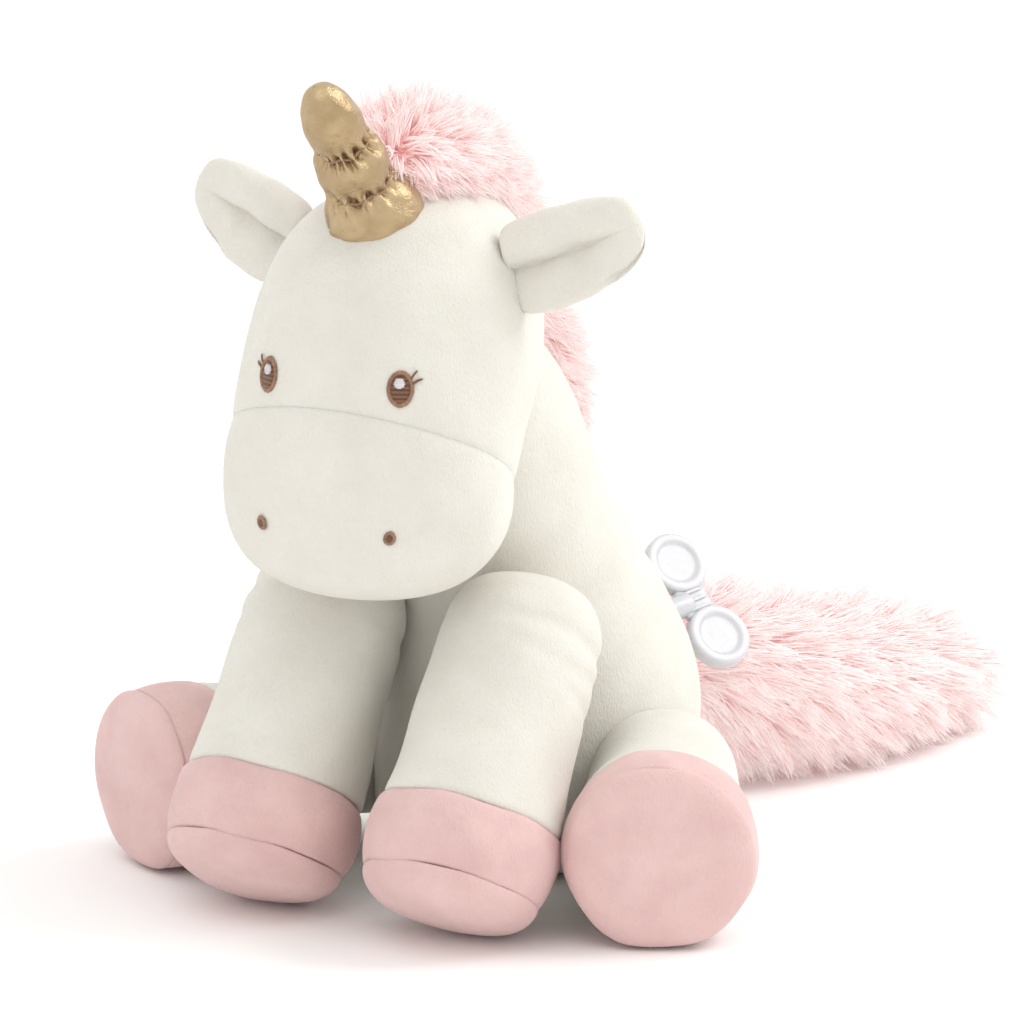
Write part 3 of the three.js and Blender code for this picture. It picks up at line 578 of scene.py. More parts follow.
# %% Limb helpers
FRONT = dict(
    pivot=SHOULDER, tilt=34, splay=0, bend=3, bend_from=32, seam=64, sole=86, dome=12, square=0.85,
    sleeve=[(-14.5, 3), (-13.5, 10.5), (-9.5, 18.5), (-2, 23.5), (9, 25.5), (26, 25.7), (46, 26.2), (64, 28)],
    cuff=[(64, 28.3), (69, 29.4), (75, 29.9), (81, 29.3), (86, 27.6)],
    creases=[(2, 1.1, 8, 1.0), (11, 1.6, 8, 0.6), (6, 3.6, 7, 0.7), (20, 2.2, 6, 0.45)],
)
HIND = dict(
    pivot=HIP, tilt=87, splay=28, bend=-3, bend_from=27, seam=54, sole=76, dome=7, square=0.65,
    sleeve=[(-24, 3), (-22.5, 11), (-16, 19), (-5, 23.5), (8, 24.5), (24, 25), (40, 26), (54, 28)],
    cuff=[(54, 28.2), (59, 29.4), (66, 29.9), (72, 29.6), (76, 28.7)],
    creases=[(-2, 3.2, 8, 1.2), (36, 2.2, 6, 1.1), (45, 2.6, 4, 1.3), (50, 2.0, 3, 0.8)],
)


def turn_x(points, degrees):
    c, s = math.cos(math.radians(degrees)), math.sin(math.radians(degrees))
    return points @ np.array([[1, 0, 0], [0, c, s], [0, -s, c]])


def turn_z(points, degrees):
    c, s = math.cos(math.radians(degrees)), math.sin(math.radians(degrees))
    return points @ np.array([[c, s, 0], [-s, c, 0], [0, 0, 1]])


def limb(leg, along, radius, angle):
    """A tube round a leg's bent middle line: along is the distance from the joint, angle 0 is the
    leg's front, and the bend turns each ring a little more, towards the leg's back, until the sole."""
    x, y = radius * np.sin(angle), -radius * np.cos(angle)
    span = leg["sole"] - leg["bend_from"]
    past = np.maximum(along - leg["bend_from"], 0)
    share = np.minimum(past / span, 1)
    turn = math.radians(leg["bend"]) * share
    shift = math.radians(leg["bend"]) * (past - span * share / 2)
    points = np.stack([x, y * np.cos(turn) + shift, -along + y * np.sin(turn)], -1)
    return turn_z(turn_x(points, -leg["tilt"]), leg["splay"]) + leg["pivot"]


def tucked(distance, depth, reach):
    """How far cloth turns in at a seam: deepest at the seam, nothing beyond its reach."""
    return depth * np.clip(1 - distance / reach, 0, 1) ** 2


def put_soft(name, points, material, body, nodes, side):
    """Makes a stuffed piece, for the left side or mirrored for the right."""
    piece = closed_grid(name, points if side == "left" else mirrored(points), material)
    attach(piece, body)
    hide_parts(*nodes)
    return piece


# %% Sleeves, cuffs and soles
for kind, leg in (("front_leg", FRONT), ("hind_leg", HIND)):
    profile = np.array(leg["sleeve"])
    t, a = np.meshgrid(np.linspace(0, len(profile) - 1, 84), ring(128), indexing="ij")
    s, r = np.moveaxis(smooth_through(profile, t), -1, 0)
    r = r - tucked(leg["seam"] - s, 0.9, 2.0)
    s = np.minimum(s, leg["seam"] - 0.05)
    sleeve = limb(leg, s, r, a)
    relief = 0.55 * lumps(sleeve, 40, 21)
    for at, facing, width, depth in leg["creases"]:
        line = s - at - 3.5 * np.cos(a - facing) - 1.2 * np.sin(3 * a + at)
        relief = relief - depth * valley(line, width * 0.35) * np.clip(0.35 + np.cos(a - facing), 0, 1)
    sleeve = on_floor(pushed(sleeve, relief * np.clip((s + 22) / 8, 0, 1)))

    profile = np.array(leg["cuff"])
    t, a = np.meshgrid(np.linspace(0, len(profile) - 1, 44), ring(128), indexing="ij")
    s, r = np.moveaxis(smooth_through(profile, t), -1, 0)
    r = r - tucked(s - leg["seam"], 1.0, 2.0) - tucked(leg["sole"] - s, 0.4, 1.0)
    cuff = limb(leg, np.clip(s, leg["seam"] + 0.05, leg["sole"] - 0.02), r, a)
    cuff = on_floor(pushed(cuff, 0.45 * lumps(cuff, 26, 5)))

    q, a = np.meshgrid(np.linspace(0, 0.985, 46), ring(128), indexing="ij")
    rim = profile[-1, 1]
    r = rim * np.cos(q * np.pi / 2) ** leg["square"]
    s = leg["sole"] + leg["dome"] * np.sin(q * np.pi / 2)
    r = r - tucked((rim - r) + (s - leg["sole"]), 0.4, 1.0)
    sole = limb(leg, s, r, a)
    sole = on_floor(pushed(sole, 0.4 * lumps(sole, 24, 8)))

    for side in ("left", "right"):
        where = f"{kind}_{side}"
        stuffed = [f"{where}_sleeve", f"{where}_filling"]
        put_soft(f"{where}_sleeve_cloth", sleeve, WHITE_MINKY, where, stuffed, side)
        put_soft(f"{where}_cuff_cloth", cuff, PINK_VELOUR, where, [f"{where}_cuff"], side)
        put_soft(f"{where}_sole_cloth", sole, PINK_VELOUR, where, [f"{where}_sole"], side)
    print(kind, "length over all", round(float(np.ptp(sleeve[..., 2]) + np.ptp(sole[..., 2])), 1))

# %% [markdown]
# ## Ears
# An ear is a leaf of cloth sewn to a second leaf, turned out, and folded lengthwise so that its
# upper edge rolls forward over the inner panel. Its section is drawn once as a closed curve, and
# the leaf's outline scales it along the ear. The fold fades away towards the tip.

# %% Ears
EAR_ROOT = np.array([43.0, -70.0, 203.6])
EAR_OUT = np.array([0.93, 0.155, 0.336]) / np.linalg.norm([0.93, 0.155, 0.336])
EAR_UP = axis("ear_left_fold") * np.sign(axis("ear_left_fold")[2])
EAR_FRONT = np.cross(EAR_OUT, EAR_UP)
EAR_SECTION = [  # up and forward, as shares of the half width, round the ear from its lower edge
    (-1.0, 0.20), (-0.9, 0.31), (-0.62, 0.26), (-0.3, 0.11), (-0.04, -0.04), (0.04, -0.09), (0.09, 0.06),
    (0.22, 0.30), (0.48, 0.42), (0.78, 0.33), (0.99, 0.08), (0.98, -0.18), (0.76, -0.36), (0.42, -0.42),
    (0.05, -0.35), (-0.35, -0.19), (-0.7, -0.02), (-0.93, 0.09),
]
EAR_OUTLINE = [  # distance from the head and half width
    (-6, 9), (-4.5, 13), (2, 14.8), (10, 15), (19, 14.2), (27, 12.6), (33, 10.4), (37, 7.4), (38.9, 2.6),
]


def round_loop(stations, t):
    """Catmull-Rom curve through a closed ring of stations."""
    padded = np.array(stations[-1:] + stations + stations[:3], float)
    return smooth_through(padded, t + 1)


along_steps = np.linspace(0, len(EAR_OUTLINE) - 1, 70)
around_steps = np.linspace(0, len(EAR_SECTION), 110, endpoint=False)
t, a = np.meshgrid(along_steps, around_steps, indexing="ij")
along, half = np.moveaxis(smooth_through(EAR_OUTLINE, t), -1, 0)
up, front = np.moveaxis(round_loop(EAR_SECTION, a), -1, 0)
fold = np.clip((35 - along) / 17, 0.12, 1)
lens = 0.34 * np.sqrt(np.clip(1 - up**2, 0, 1)) * np.where((a > 1) & (a < 10), 1, -1)
front = front * fold + lens * (1 - fold)
rise = 0.0018 * along**2 + 0.2
leaf = EAR_ROOT + along[..., None] * EAR_OUT + (up * half + rise)[..., None] * EAR_UP
leaf = leaf + (front * half * 0.92)[..., None] * EAR_FRONT
leaf = pushed(leaf, 0.25 * lumps(leaf, 14, 31))
for side in ("left", "right"):
    panels_of_ear = [f"ear_{side}_front_panel", f"ear_{side}_back_panel"]
    put_soft(f"ear_{side}_cloth", leaf, WHITE_MINKY, f"ear_{side}", panels_of_ear, side)
print("ear reaches", np.round(leaf.max((0, 1)), 1))

# %% [markdown]
# ## Horn
# The horn is a cone of lame drawn in by two threads into three puffs. Near a thread the cloth is
# longer than the thread lets it be, so it stands in pleats. Pleats are an uneven wave round the
# horn that dies away from the thread, and the cone's own seam is a shallow line up one side.

# %% Horn
HORN_BASE = np.array([0.0, -84.0, 214.0])
HORN_TILT = 38
HORN = [  # height and radius
    (-4, 13.5), (0, 15.0), (5, 15.3), (10, 14.7), (14.5, 13.3), (18, 11.5), (20.2, 9.6), (21, 9.0),
    (22.2, 9.7), (24.6, 10.7), (28, 11.0), (31.5, 10.5), (34.4, 9.1), (36, 7.5), (36.8, 7.0), (37.9, 7.7),
    (40.4, 8.6), (44.5, 8.8), (49, 8.4), (53.4, 7.3), (57, 5.6), (59.2, 3.6), (60.2, 1.4),
]
THREADS = ((21, 9.3), (36.8, 7.2))


def on_horn(radius, angle, height):
    """Angle 0 is the toy's front; the horn leans forward from its base."""
    points = np.stack([radius * np.sin(angle), -radius * np.cos(angle), height], -1)
    return turn_x(points, HORN_TILT) + HORN_BASE


t, a = np.meshgrid(np.linspace(0, len(HORN) - 1, 230), ring(220), indexing="ij")
h, r = np.moveaxis(smooth_through(HORN, t), -1, 0)
for gather, _ in THREADS:
    off = h - gather
    wave = np.sin(15 * a + 1.4 * np.sin(3 * a + gather) + 0.35 * off)
    fine = np.sin(27 * a + 2 * np.sin(2 * a) - 0.5 * off)
    strength = 0.55 + 0.45 * np.sin(2 * a + gather)
    r = r + wave * (1.15 * strength * valley(off, 4.2) + 0.9 * valley(off, 2.2)) + 0.4 * fine * valley(off, 3)
    h = h + 0.7 * np.sin(7 * a + gather) * valley(off, 3)
seam_side = np.angle(np.exp(1j * (a + 0.75)))
r = r - 0.7 * valley(seam_side * r, 0.7) + 0.35 * valley(seam_side * r, 2.6)
r = r + 0.22 * lumps(np.stack([r * np.sin(a), r * np.cos(a), h], -1), 9, 41) * np.clip(r / 4, 0, 1)
horn = closed_grid("horn_cloth", on_horn(np.maximum(r, 0.4), a, h), GOLD_LAME)
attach(horn, "head")
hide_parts("horn_sleeve", "horn_filling")
print("horn", len(horn.data.polygons), "faces")

# %% [markdown]
# ## Threads and fibres
# A stitch, a gathering thread and a strand of pile are all thin tubes along short paths. One
# helper makes any number of them in one mesh: it carries a ring of a few points along each path,
# thins the ring out by a list of radii, and closes both ends.

# %% Tubes along paths


def fibres(name, paths, radii, sides, material, attributes=None):
    """Tubes along paths shaped count x places x 3. Side directions are square to each path."""
    count, places = paths.shape[:2]
    forward = np.gradient(paths, axis=1)
    forward /= np.maximum(np.linalg.norm(forward, axis=-1, keepdims=True), 1e-9)
    reference = np.cross(forward[:, :1], paths[:, -1:] - paths[:, :1] + np.array([0.3, 0.5, 0.8]))
    side = np.cross(reference, forward)
    side /= np.maximum(np.linalg.norm(side, axis=-1, keepdims=True), 1e-9)
    other = np.cross(forward, side)
    turn = ring(sides)
    radii = np.broadcast_to(radii, (count, places))[..., None, None]
    rings = paths[:, :, None] + radii * (
        np.cos(turn)[:, None] * side[:, :, None] + np.sin(turn)[:, None] * other[:, :, None]
    )
    ends = np.stack([paths[:, 0] - forward[:, 0] * 0.05, paths[:, -1] + forward[:, -1] * 0.15], 1)
    vertices = np.concatenate([rings.reshape(count, -1, 3), ends], 1)
    quads, fans = grid_faces(places, sides)
    split = np.concatenate([quads[:, [0, 1, 2]], quads[:, [0, 2, 3]], fans])
    if enclosed(vertices[0] - vertices[0].mean(0), split) < 0:
        quads, fans = quads[:, ::-1], fans[:, ::-1]
    first = (np.arange(count) * vertices.shape[1])[:, None, None]
    values = {}
    for label, value in (attributes or {}).items():
        value = np.broadcast_to(value, (count, places))
        values[label] = np.concatenate([np.repeat(value, sides, 1), value[:, :1], value[:, -1:]], 1)
    return make_object(name, vertices.reshape(-1, 3), quads + first, fans + first, material, values)


def put_stitches(name, paths, radius, material, body, node, shade):
    """Embroidery: six-sided threads that ride on a body in place of a plain node."""
    thin = radius * np.sin(np.linspace(0.35, np.pi - 0.35, paths.shape[1])) ** 0.4
    piece = fibres(name, paths, thin, 6, material, {"shade": np.asarray(shade, float)[:, None]})
    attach(piece, body)
    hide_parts(node)
    return piece


for (height, radius), node in zip(THREADS, ("horn_gather_lower", "horn_gather_upper")):
    turns = np.linspace(0, 2 * np.pi * 1.01, 160)
    strands = []
    for start in (0, np.pi):
        twist = 27.5 * turns + start
        wander = height + 0.5 * np.sin(7 * turns + height) + 0.25 * np.sin(twist)
        strands.append(on_horn(radius + 0.45 + 0.22 * np.cos(twist), turns, wander))
    put_stitches(f"{node}_thread", np.array(strands), 0.3, TAN_THREAD, "head", node, [0.9, 1.0])

# %% [markdown]
# ## Eyes, lashes and nostrils
# The face is embroidered. An eye is a round of dark satin stitches inside a lighter rim whose
# stitches stand across the outline, with a white highlight over it and two lashes at its outer
# corner. Each stitch is laid on the cloth by measuring sideways and upwards from the eye's centre.

# %% Points on the face
head_steps = np.linspace(0, len(HEAD) - 1, 2000)
head_heights = smooth_through(HEAD, head_steps)[:, 0]


class Patch:
    """A place on the head: turns millimetres across and up into points over the cloth."""

    def __init__(self, height, angle):
        self.t = float(np.interp(height, head_heights, head_steps))
        self.angle = math.radians(angle)
        step = 1e-3
        here = self.bare(self.t, self.angle)
        self.per_angle = np.linalg.norm(self.bare(self.t, self.angle + step) - here) / step
        self.per_t = np.linalg.norm(self.bare(self.t + step, self.angle) - here) / step

    @staticmethod
    def bare(t, angle):
        return head_point(np.asarray(t, float), np.asarray(angle, float))

    def at(self, across, up, lift):
        """Across is towards the toy's left, up is along the cloth, lift is above it."""
        t = self.t + np.asarray(up) / self.per_t
        angle = self.angle + np.asarray(across) / self.per_angle
        here, step = self.bare(t, angle), 1e-3
        normal = np.cross(self.bare(t, angle + step) - here, self.bare(t + step, angle) - here)
        normal /= np.linalg.norm(normal, axis=-1, keepdims=True)
        return here + normal * (head_relief(here) + lift)[..., None]


def rows_of_satin(patch, across, up, half_wide, half_high, spacing, lift, rng):
    """Stitches side by side, each from edge to edge of an ellipse."""
    rows = np.arange(-half_high + spacing / 2, half_high, spacing)
    reach = half_wide * np.sqrt(np.clip(1 - (rows / half_high) ** 2, 0.02, 1))
    reach = reach + rng.uniform(-0.15, 0.15, len(rows))
    share = np.linspace(-1, 1, 9)
    x = across + reach[:, None] * share
    y = up + rows[:, None] + 0 * share
    return patch.at(x, y, lift + 0.35 * (1 - share**4) + 0 * y), rows


def rim_of_satin(patch, half_wide, half_high, inner, outer, count, lift, rng):
    """Short stitches across an ellipse's outline, each a little askew."""
    turn = np.linspace(0, 2 * np.pi, count, endpoint=False)[:, None]
    share = np.linspace(0, 1, 6)
    reach = inner + (outer + rng.uniform(-0.02, 0.02, (count, 1)) - inner) * share
    lean = turn + 0.1 * share
    x, y = half_wide * reach * np.cos(lean), half_high * reach * np.sin(lean)
    return patch.at(x, y, lift + 0.5 * np.sin(np.pi * share) + 0 * x)


def lash(patch, start, end, rng):
    """Three threads laid together from the rim outwards, thinning to a point."""
    share = np.linspace(0, 1, 8)
    spread = np.array([-0.28, 0, 0.28])[:, None] * (1 - 0.7 * share)
    x = start[0] + (end[0] - start[0]) * share + spread * 0.6
    y = start[1] + (end[1] - start[1]) * share + 0.5 * np.sin(np.pi * share) * 0.5 + spread
    return patch.at(x, y, 0.25 + 0.4 * np.sin(np.pi * share) + 0 * x)


# %% Stitch the face
EYE_HEIGHT, EYE_WIDE, EYE_HIGH = 172.0, 3.9, 5.3
EYE_ANGLE = {"left": 31.0, "right": 28.6}
NOSTRIL_HEIGHT, NOSTRIL_ANGLE = 127.6, {"left": 30.6, "right": 27.6}
rng = np.random.default_rng(5)
for side in ("left", "right"):
    turned = (lambda points: points) if side == "left" else mirrored
    eye, nostril = Patch(EYE_HEIGHT, EYE_ANGLE[side]), Patch(NOSTRIL_HEIGHT, NOSTRIL_ANGLE[side])
    satin, rows = rows_of_satin(eye, 0, 0, EYE_WIDE * 0.86, EYE_HIGH * 0.88, 0.34, 0.05, rng)
    rim = rim_of_satin(eye, EYE_WIDE, EYE_HIGH, 0.78, 1.03, 66, 0.1, rng)
    glint, _ = rows_of_satin(eye, -0.3, 1.7, 1.6, 1.5, 0.36, 0.75, rng)
    lashes = np.concatenate([lash(eye, (3.4, 1.5), (6.6, 3.0), rng), lash(eye, (2.9, 2.7), (4.9, 5.4), rng)])
    dots, _ = rows_of_satin(nostril, 0, 0, 1.3, 1.5, 0.34, 0.05, rng)
    dot_rim = rim_of_satin(nostril, 1.8, 2.1, 0.55, 1.0, 30, 0.1, rng)
    stripes = 0.5 + 0.5 * np.sign(np.sin(rows * 2 * np.pi / 1.36))
    put_stitches(
        f"eye_{side}_satin", turned(satin), 0.26, BROWN_THREAD, "head", f"eye_{side}", stripes
    )
    put_stitches(
        f"eye_glint_{side}_satin", turned(glint), 0.27, WHITE_THREAD, "head", f"eye_glint_{side}",
        rng.uniform(0.4, 1, len(glint)),
    )
    put_stitches(
        f"eyelashes_{side}_threads", turned(lashes), 0.3, BROWN_THREAD, "head", f"eyelashes_{side}",
        np.full(len(lashes), 0.45),
    )
    put_stitches(
        f"nostril_{side}_satin", turned(dots), 0.26, BROWN_THREAD, "head", f"nostril_{side}",
        rng.uniform(0.1, 0.6, len(dots)),
    )
    for name, stitches in ((f"eye_{side}_rim", rim), (f"nostril_{side}_rim", dot_rim)):
        shades = {"shade": rng.uniform(0.1, 0.9, (len(stitches), 1))}
        edge_piece = fibres(name, turned(stitches), 0.24, 6, TAN_THREAD, shades)
        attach(edge_piece, "head")
print("stitches in an eye:", len(satin) + len(rim))

# %% [markdown]
# ## The winding key
# The key is moulded in one piece: two round finger discs with a sunk face in each, a ribbed bridge
# between them and a stem that goes over the shaft. A disc is a profile turned round its own axis,
# and the bridge is a box with rounded edges.

# %% Key
OUT = -axis("key_turn")
ACROSS = axis("drum_turn")
EYELET = pivot("key_turn") - 19 * OUT
KEY_OUT, KEY_APART, DISC = 19, 13.9, 10.75


def key_frame(x, y, z):
    """Key coordinates: x across both discs, z out along the shaft, y square to both."""
    sideways = np.cross(OUT, ACROSS)
    return EYELET + x[..., None] * ACROSS + y[..., None] * sideways + z[..., None] * OUT


def turned_shape(profile, sides):
    """A profile of (distance along, radius) turned round an axis, with straight lines between."""
    stations = np.array(profile, float)
    t, a = np.meshgrid(np.linspace(0, len(stations) - 1, len(profile) * 4), ring(sides), indexing="ij")
    low = np.minimum(t.astype(int), len(stations) - 2)
    f = np.clip(t - low, 0, 1)[..., None]
    s, r = np.moveaxis(stations[low] * (1 - f) + stations[low + 1] * f, -1, 0)
    return s, r * np.cos(a), r * np.sin(a)


face = [(-1.8, 0.05), (-1.8, 6.2), (-1.9, 6.7), (-2.15, 7.2), (-2.4, 7.7), (-2.5, 8.3), (-2.5, 9.6)]
edge = [(-2.35, 10.2), (-1.95, 10.6), (-1.4, 10.75)]
half_disc = face + edge
disc_profile = half_disc + [(-s, r) for s, r in reversed(half_disc)]
y, x, z = turned_shape(disc_profile, 72)
parts = [key_frame(x + side * KEY_APART, y, z + KEY_OUT) for side in (-1, 1)]


def rounded_box(low, high, power=6, rows=26, sides=48):
    """A box with rounded edges: a superellipse section whose size falls off at both ends."""
    middle, half = (np.array(low) + high) / 2, (np.array(high) - low) / 2
    q, a = np.meshgrid(np.linspace(-0.999, 0.999, rows), ring(sides), indexing="ij")
    q = np.sin(q * np.pi / 2)
    size = (1 - np.abs(q) ** power) ** (1 / power)
    c, s = np.cos(a), np.sin(a)
    reach = size * (np.abs(c) ** power + np.abs(s) ** power) ** (-1 / power)
    x, y, z = middle[0] + half[0] * q, middle[1] + half[1] * reach * c, middle[2] + half[2] * reach * s
    return key_frame(x, y, z)


parts.append(rounded_box((-5.5, -1.7, KEY_OUT - 7), (5.5, 1.7, KEY_OUT + 4.5)))
parts += [rounded_box((x - 0.7, -2.6, KEY_OUT - 6), (x + 0.7, 2.6, KEY_OUT + 3.6), 4) for x in (-3.0, 0, 3.0)]
z, x, y = turned_shape([(4.5, 2.7), (4.5, 3.6), (4.9, 4.0), (14, 3.9), (16, 3.6), (16.4, 2.6)], 36)
parts.append(key_frame(x, y, z))

vertices, quads, fans, first = [], [], [], 0
for part in parts:
    q, f = grid_faces(*part.shape[:2])
    solid = np.concatenate([part.reshape(-1, 3), [part[0].mean(0), part[-1].mean(0)]])
    split = np.concatenate([q[:, [0, 1, 2]], q[:, [0, 2, 3]], f])
    if enclosed(solid - solid.mean(0), split) < 0:
        q, f = q[:, ::-1], f[:, ::-1]
    vertices.append(solid)
    quads.append(q + first)
    fans.append(f + first)
    first += len(solid)
vertices, quads, fans = np.concatenate(vertices), np.concatenate(quads), np.concatenate(fans)
key = make_object("key_moulding", vertices, quads, fans, WHITE_PLASTIC)
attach(key, "key")
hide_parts("winding_key")

barrel = [(-3, 2.95), (-3, 4.2), (1.0, 4.3)]
flange = [(1.2, 4.8), (1.3, 7.6), (1.7, 8), (2.3, 7.8), (2.6, 7), (2.6, 3.3), (2.2, 2.95)]
z, x, y = turned_shape(barrel + flange, 48)
eyelet = closed_grid("eyelet_moulding", key_frame(x, y, z), WHITE_PLASTIC)
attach(eyelet, "torso")
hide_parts("back_eyelet")
print("key", len(key.data.polygons), "faces")

# %% [markdown]
# ## Mane and tail
# The pile is so long that it hides its backing. So each part is a soft core in the colour of the
# pile's lower half, and thousands of tapering strands that grow out of it. Pile mats into locks: a lock
# has one direction, and its strands draw together towards one tip.

# %% Mane and tail cores
MANE_HEAD = [  # y, z, half width, thickness, lean of the outward side in degrees
    (-84, 228, 9, 8, -30), (-82, 232, 13, 12, -30), (-74, 233, 21, 20, -16), (-60, 231, 24, 23, 5),
    (-43, 225, 24, 22, 30), (-29, 212, 23, 20, 52), (-21, 197, 23, 20, 72), (-17, 186, 23, 21, 86),
]
MANE_NECK = [
    (-13, 181, 22, 21, 88), (-5, 170, 23, 23, 84), (2, 156, 22, 22, 76), (8, 143, 19, 18, 70),
    (12, 134, 13, 10, 68),
]
TAIL = [  # x, y, z, half width, half thickness
    (-3, 63, 42, 8, 8), (-3, 66.5, 42, 12, 12), (-1, 78, 41, 26, 27), (6, 100, 36, 39, 34),
    (15, 125, 30, 46, 33), (21, 150, 27, 48, 30), (26, 176, 24, 46, 27), (29, 196, 21, 41, 23),
    (31, 210, 17, 33, 18), (32, 219, 14, 20, 12),
]


def mane_surface(stations, share):
    """The mane's section: an ellipse across the head whose upper side leans back down the nape."""

    def surface(t, angle):
        y, z, wide, thick, lean = np.moveaxis(smooth_through(stations, t), -1, 0)
        lean = np.radians(lean)
        out = thick * share * np.sin(angle)
        return np.stack([wide * share * np.cos(angle), y + out * np.sin(lean), z + out * np.cos(lean)], -1)

    return surface


def clear_of_key(points, clearance):
    """Moves points out of the drum that the turning key sweeps, straight away from its shaft."""
    local = points - EYELET
    out = local @ OUT
    across = local - out[..., None] * OUT
    radius = np.linalg.norm(across, axis=-1)
    sweep = KEY_APART + DISC + clearance
    near = np.clip(np.minimum(out - 3, 35 - out) / 4, 0, 1)
    wanted = np.maximum(radius, sweep * near)
    return points + across * ((wanted - radius) / np.maximum(radius, 1e-6))[..., None]


def tail_surface(share):
    """The tail's section: an ellipse that flattens where it lies on the floor."""

    def surface(t, angle):
        x, y, z, wide, thick = np.moveaxis(smooth_through(TAIL, t), -1, 0)
        points = np.stack([x + wide * share * np.cos(angle), y, z + thick * share * np.sin(angle)], -1)
        return on_floor(clear_of_key(points, 1.5), 1.5)

    return surface


def core(name, surface, stations, body, node):
    """The backing under the pile, in the colour of the pile's lower half."""
    t, a = np.meshgrid(np.linspace(0, len(stations) - 1, 90), ring(64), indexing="ij")
    points = surface(t, a)
    piece = closed_grid(name, points, PINK_PILE, {"along": 0 * t + 0.42, "shade": 0 * t + 0.5})
    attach(piece, body)
    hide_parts(node)
    return piece


# %% Growing the pile
STRANDS = 10800


def everywhere(points):
    return np.ones(len(points), bool)


def pile(name, surface, stations, body, seed, locks, lock_width, length, lie, radius, kept=everywhere):
    """Strands in locks. A lock's centre is a random place on the surface; each strand takes a random
    lock and its root near that centre, and the strand bends from the surface's own direction
    towards the lock's direction and tip. Lie says how much, and which way, a lock leans."""
    rng = np.random.default_rng(seed)
    steps, turns = np.linspace(0, len(stations) - 1, 220), ring(160)
    grid = surface(*np.meshgrid(steps, turns, indexing="ij"))
    cell = np.linalg.norm(np.cross(np.gradient(grid, axis=0), np.roll(grid, -1, 1) - grid), axis=-1)
    cell = cell * kept(grid.reshape(-1, 3)).reshape(cell.shape)
    normal_grid = normals_of(grid)
    picked = rng.choice(cell.size, locks, p=(cell / cell.sum()).ravel())
    centre, normal = grid.reshape(-1, 3)[picked], normal_grid.reshape(-1, 3)[picked]
    centre = centre + rng.normal(0, 0.6, centre.shape)
    wander = rng.normal(0, 0.28, centre.shape)
    direction = normal + lie(centre, normal) + wander
    direction /= np.linalg.norm(direction, axis=1, keepdims=True)
    reach = length * rng.uniform(0.72, 1.12, locks)
    lock_shade = rng.uniform(0, 1, locks)

    mine = rng.integers(0, locks, STRANDS)
    flat = np.cross(normal, np.array([0.31, 0.52, 0.79]))
    flat /= np.linalg.norm(flat, axis=1, keepdims=True)
    square = np.cross(normal, flat)
    far = lock_width * np.sqrt(rng.uniform(0, 1, STRANDS))[:, None]
    swing = rng.uniform(0, 2 * np.pi, STRANDS)[:, None]
    offset = far * (np.cos(swing) * flat[mine] + np.sin(swing) * square[mine])
    root = centre[mine] + offset - normal[mine] * (1.2 + far**2 / 60)
    long = (reach[mine] * rng.uniform(0.8, 1.08, STRANDS))[:, None]
    tip = centre[mine] + offset * 0.42 + direction[mine] * long + rng.normal(0, 0.7, root.shape)
    bend = root + (0.55 * normal[mine] + 0.25 * direction[mine]) * long * 0.62
    u = np.array([0, 0.5, 1])[:, None]
    path = root[:, None] * (1 - u) ** 2 + 2 * bend[:, None] * u * (1 - u) + tip[:, None] * u**2
    path = clear_of_key(path, 2.0)
    path[..., 2] = np.maximum(path[..., 2], 0.6)
    shade = np.clip(0.65 * lock_shade[mine] + 0.35 * rng.uniform(0, 1, STRANDS), 0, 1)[:, None]
    along = np.array([0.0, 0.55, 1.0]) * np.ones((STRANDS, 1))
    thin = radius * np.array([1.0, 0.9, 0.2])
    piece = fibres(name, path, thin, 3, PINK_PILE, {"along": along, "shade": shade})
    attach(piece, body)
    return piece


def down_the_mane(centre, normal):
    """Mane locks lean back over the crown and droop a little at the sides."""
    back = np.array([0, 0.35, -0.15])
    return back + np.abs(normal[:, :1]) * np.array([0, 0, -0.3])


def down_the_tail(centre, normal):
    """Tail locks fan out from the root: towards the tip, and down the sides."""
    away = centre - TAIL_BASE - np.array([0, 6, 8])
    away /= np.linalg.norm(away, axis=1, keepdims=True)
    return 1.15 * away + np.array([0, 0, -0.55])


def outside_head(points):
    """Pile grows only where the mane stands off the head and the neck."""
    return (points[:, 2] > 205) | (points[:, 1] > -32)


def past_the_root(points):
    """The tail's pile starts a little way from where it is sewn on."""
    return points[:, 1] > 70


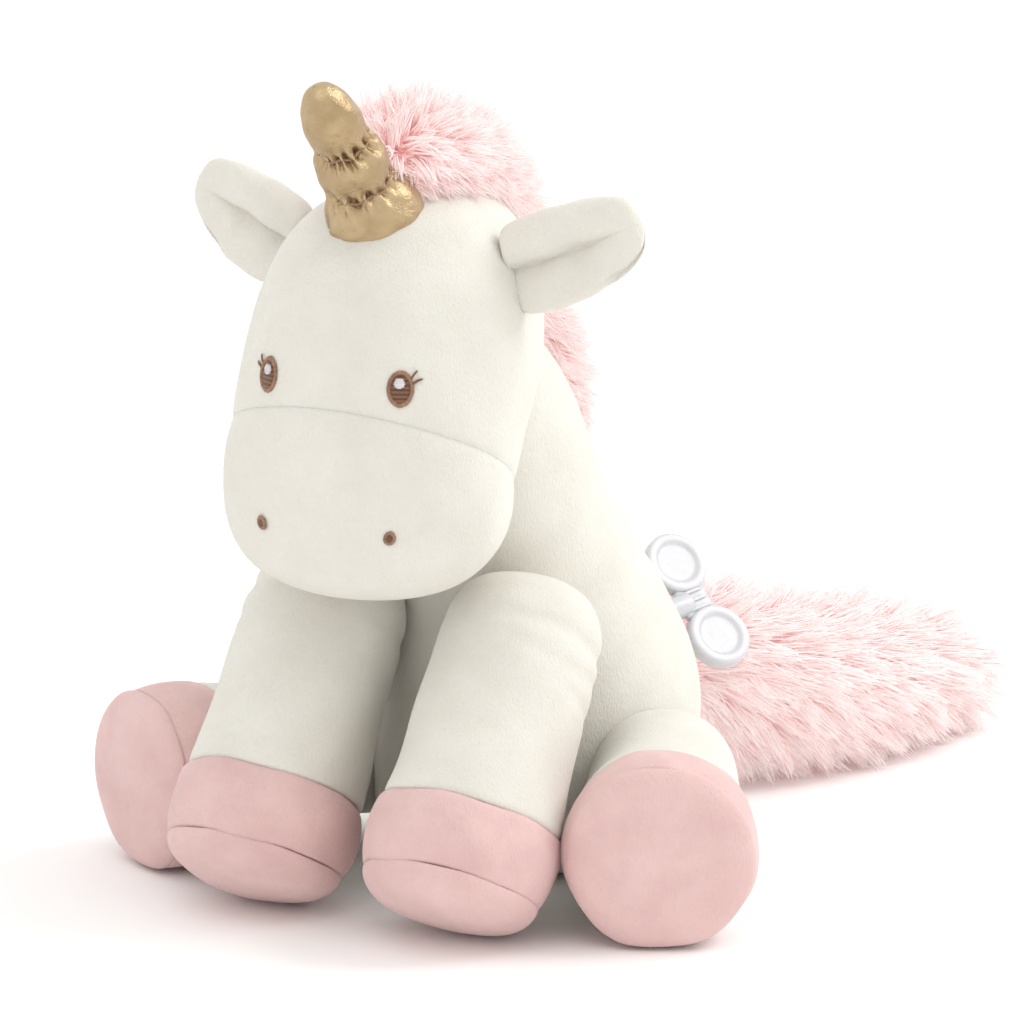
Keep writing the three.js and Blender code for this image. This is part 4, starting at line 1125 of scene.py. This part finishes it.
head_mane, neck_mane = mane_surface(MANE_HEAD, 0.56), mane_surface(MANE_NECK, 0.54)
core("mane_on_head_backing", head_mane, MANE_HEAD, "head", "mane_on_head")
core("mane_on_neck_backing", neck_mane, MANE_NECK, "torso", "mane_on_neck")
tail_core = tail_surface(0.62)
core("tail_backing", tail_core, TAIL, "tail", "tail")
for seed in (1, 2):
    pile(
        f"mane_on_head_pile_{seed}", head_mane, MANE_HEAD, "head", seed, 1000, 2.4, 11.5, down_the_mane, 0.36,
        outside_head,
    )
pile("mane_on_neck_pile", neck_mane, MANE_NECK, "torso", 7, 900, 2.4, 11, down_the_mane, 0.38)
for seed in (11, 12, 13):
    pile(
        f"tail_pile_{seed}", tail_core, TAIL, "tail", seed, 760, 4.0, 18.5, down_the_tail, 0.42,
        past_the_root,
    )
print("strands:", 6 * STRANDS)

# %% [markdown]
# ## What lies inside
# The music movement keeps its modelled shape, and the stuffed pieces above stand for the cloth
# and the filling together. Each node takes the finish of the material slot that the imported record
# gives it.

# %% Finishes for the modelled parts
SLOTS = {
    "white_minky": WHITE_MINKY, "pink_velour": PINK_VELOUR, "pink_long_pile": PINK_PILE,
    "gold_lame": GOLD_LAME, "polyester_fibre": STUFFING, "brown_thread": BROWN_THREAD,
    "white_thread": WHITE_THREAD,
    "white_plastic": WHITE_PLASTIC, "steel": STEEL, "brass": BRASS,
}
slotted = [part for part in frame["record"]["subparts"] if "material_slot" in part]
slot_of = {part["node"]: part["material_slot"] for part in slotted}
for name, node in frame["nodes"].items():
    node.data.materials.clear()
    node.data.materials.append(SLOTS[slot_of.get(name, "steel")])
print("nodes with a slot:", len(slot_of), "of", len(frame["nodes"]))

# %% Floor


def make_floor():
    """A wide pale sheet just under the toy."""
    mesh = bpy.data.meshes.new("floor")
    wide = 30.0
    corners = [(-wide, -wide, 0), (wide, -wide, 0), (wide, wide, 0), (-wide, wide, 0)]
    mesh.from_pydata(corners, [], [(0, 1, 2, 3)])
    floor = bpy.data.objects.new("floor", mesh)
    bpy.context.scene.collection.objects.link(floor)
    finish = Finish("pale_floor", Roughness=0.9, Specular_IOR_Level=0.2)
    finish.colour(finish.ramp(finish.noise(3, 1), (0.3, (0.965, 0.96, 0.955)), (0.7, (0.98, 0.975, 0.97))))
    mesh.materials.append(finish.material)
    return floor


make_floor()
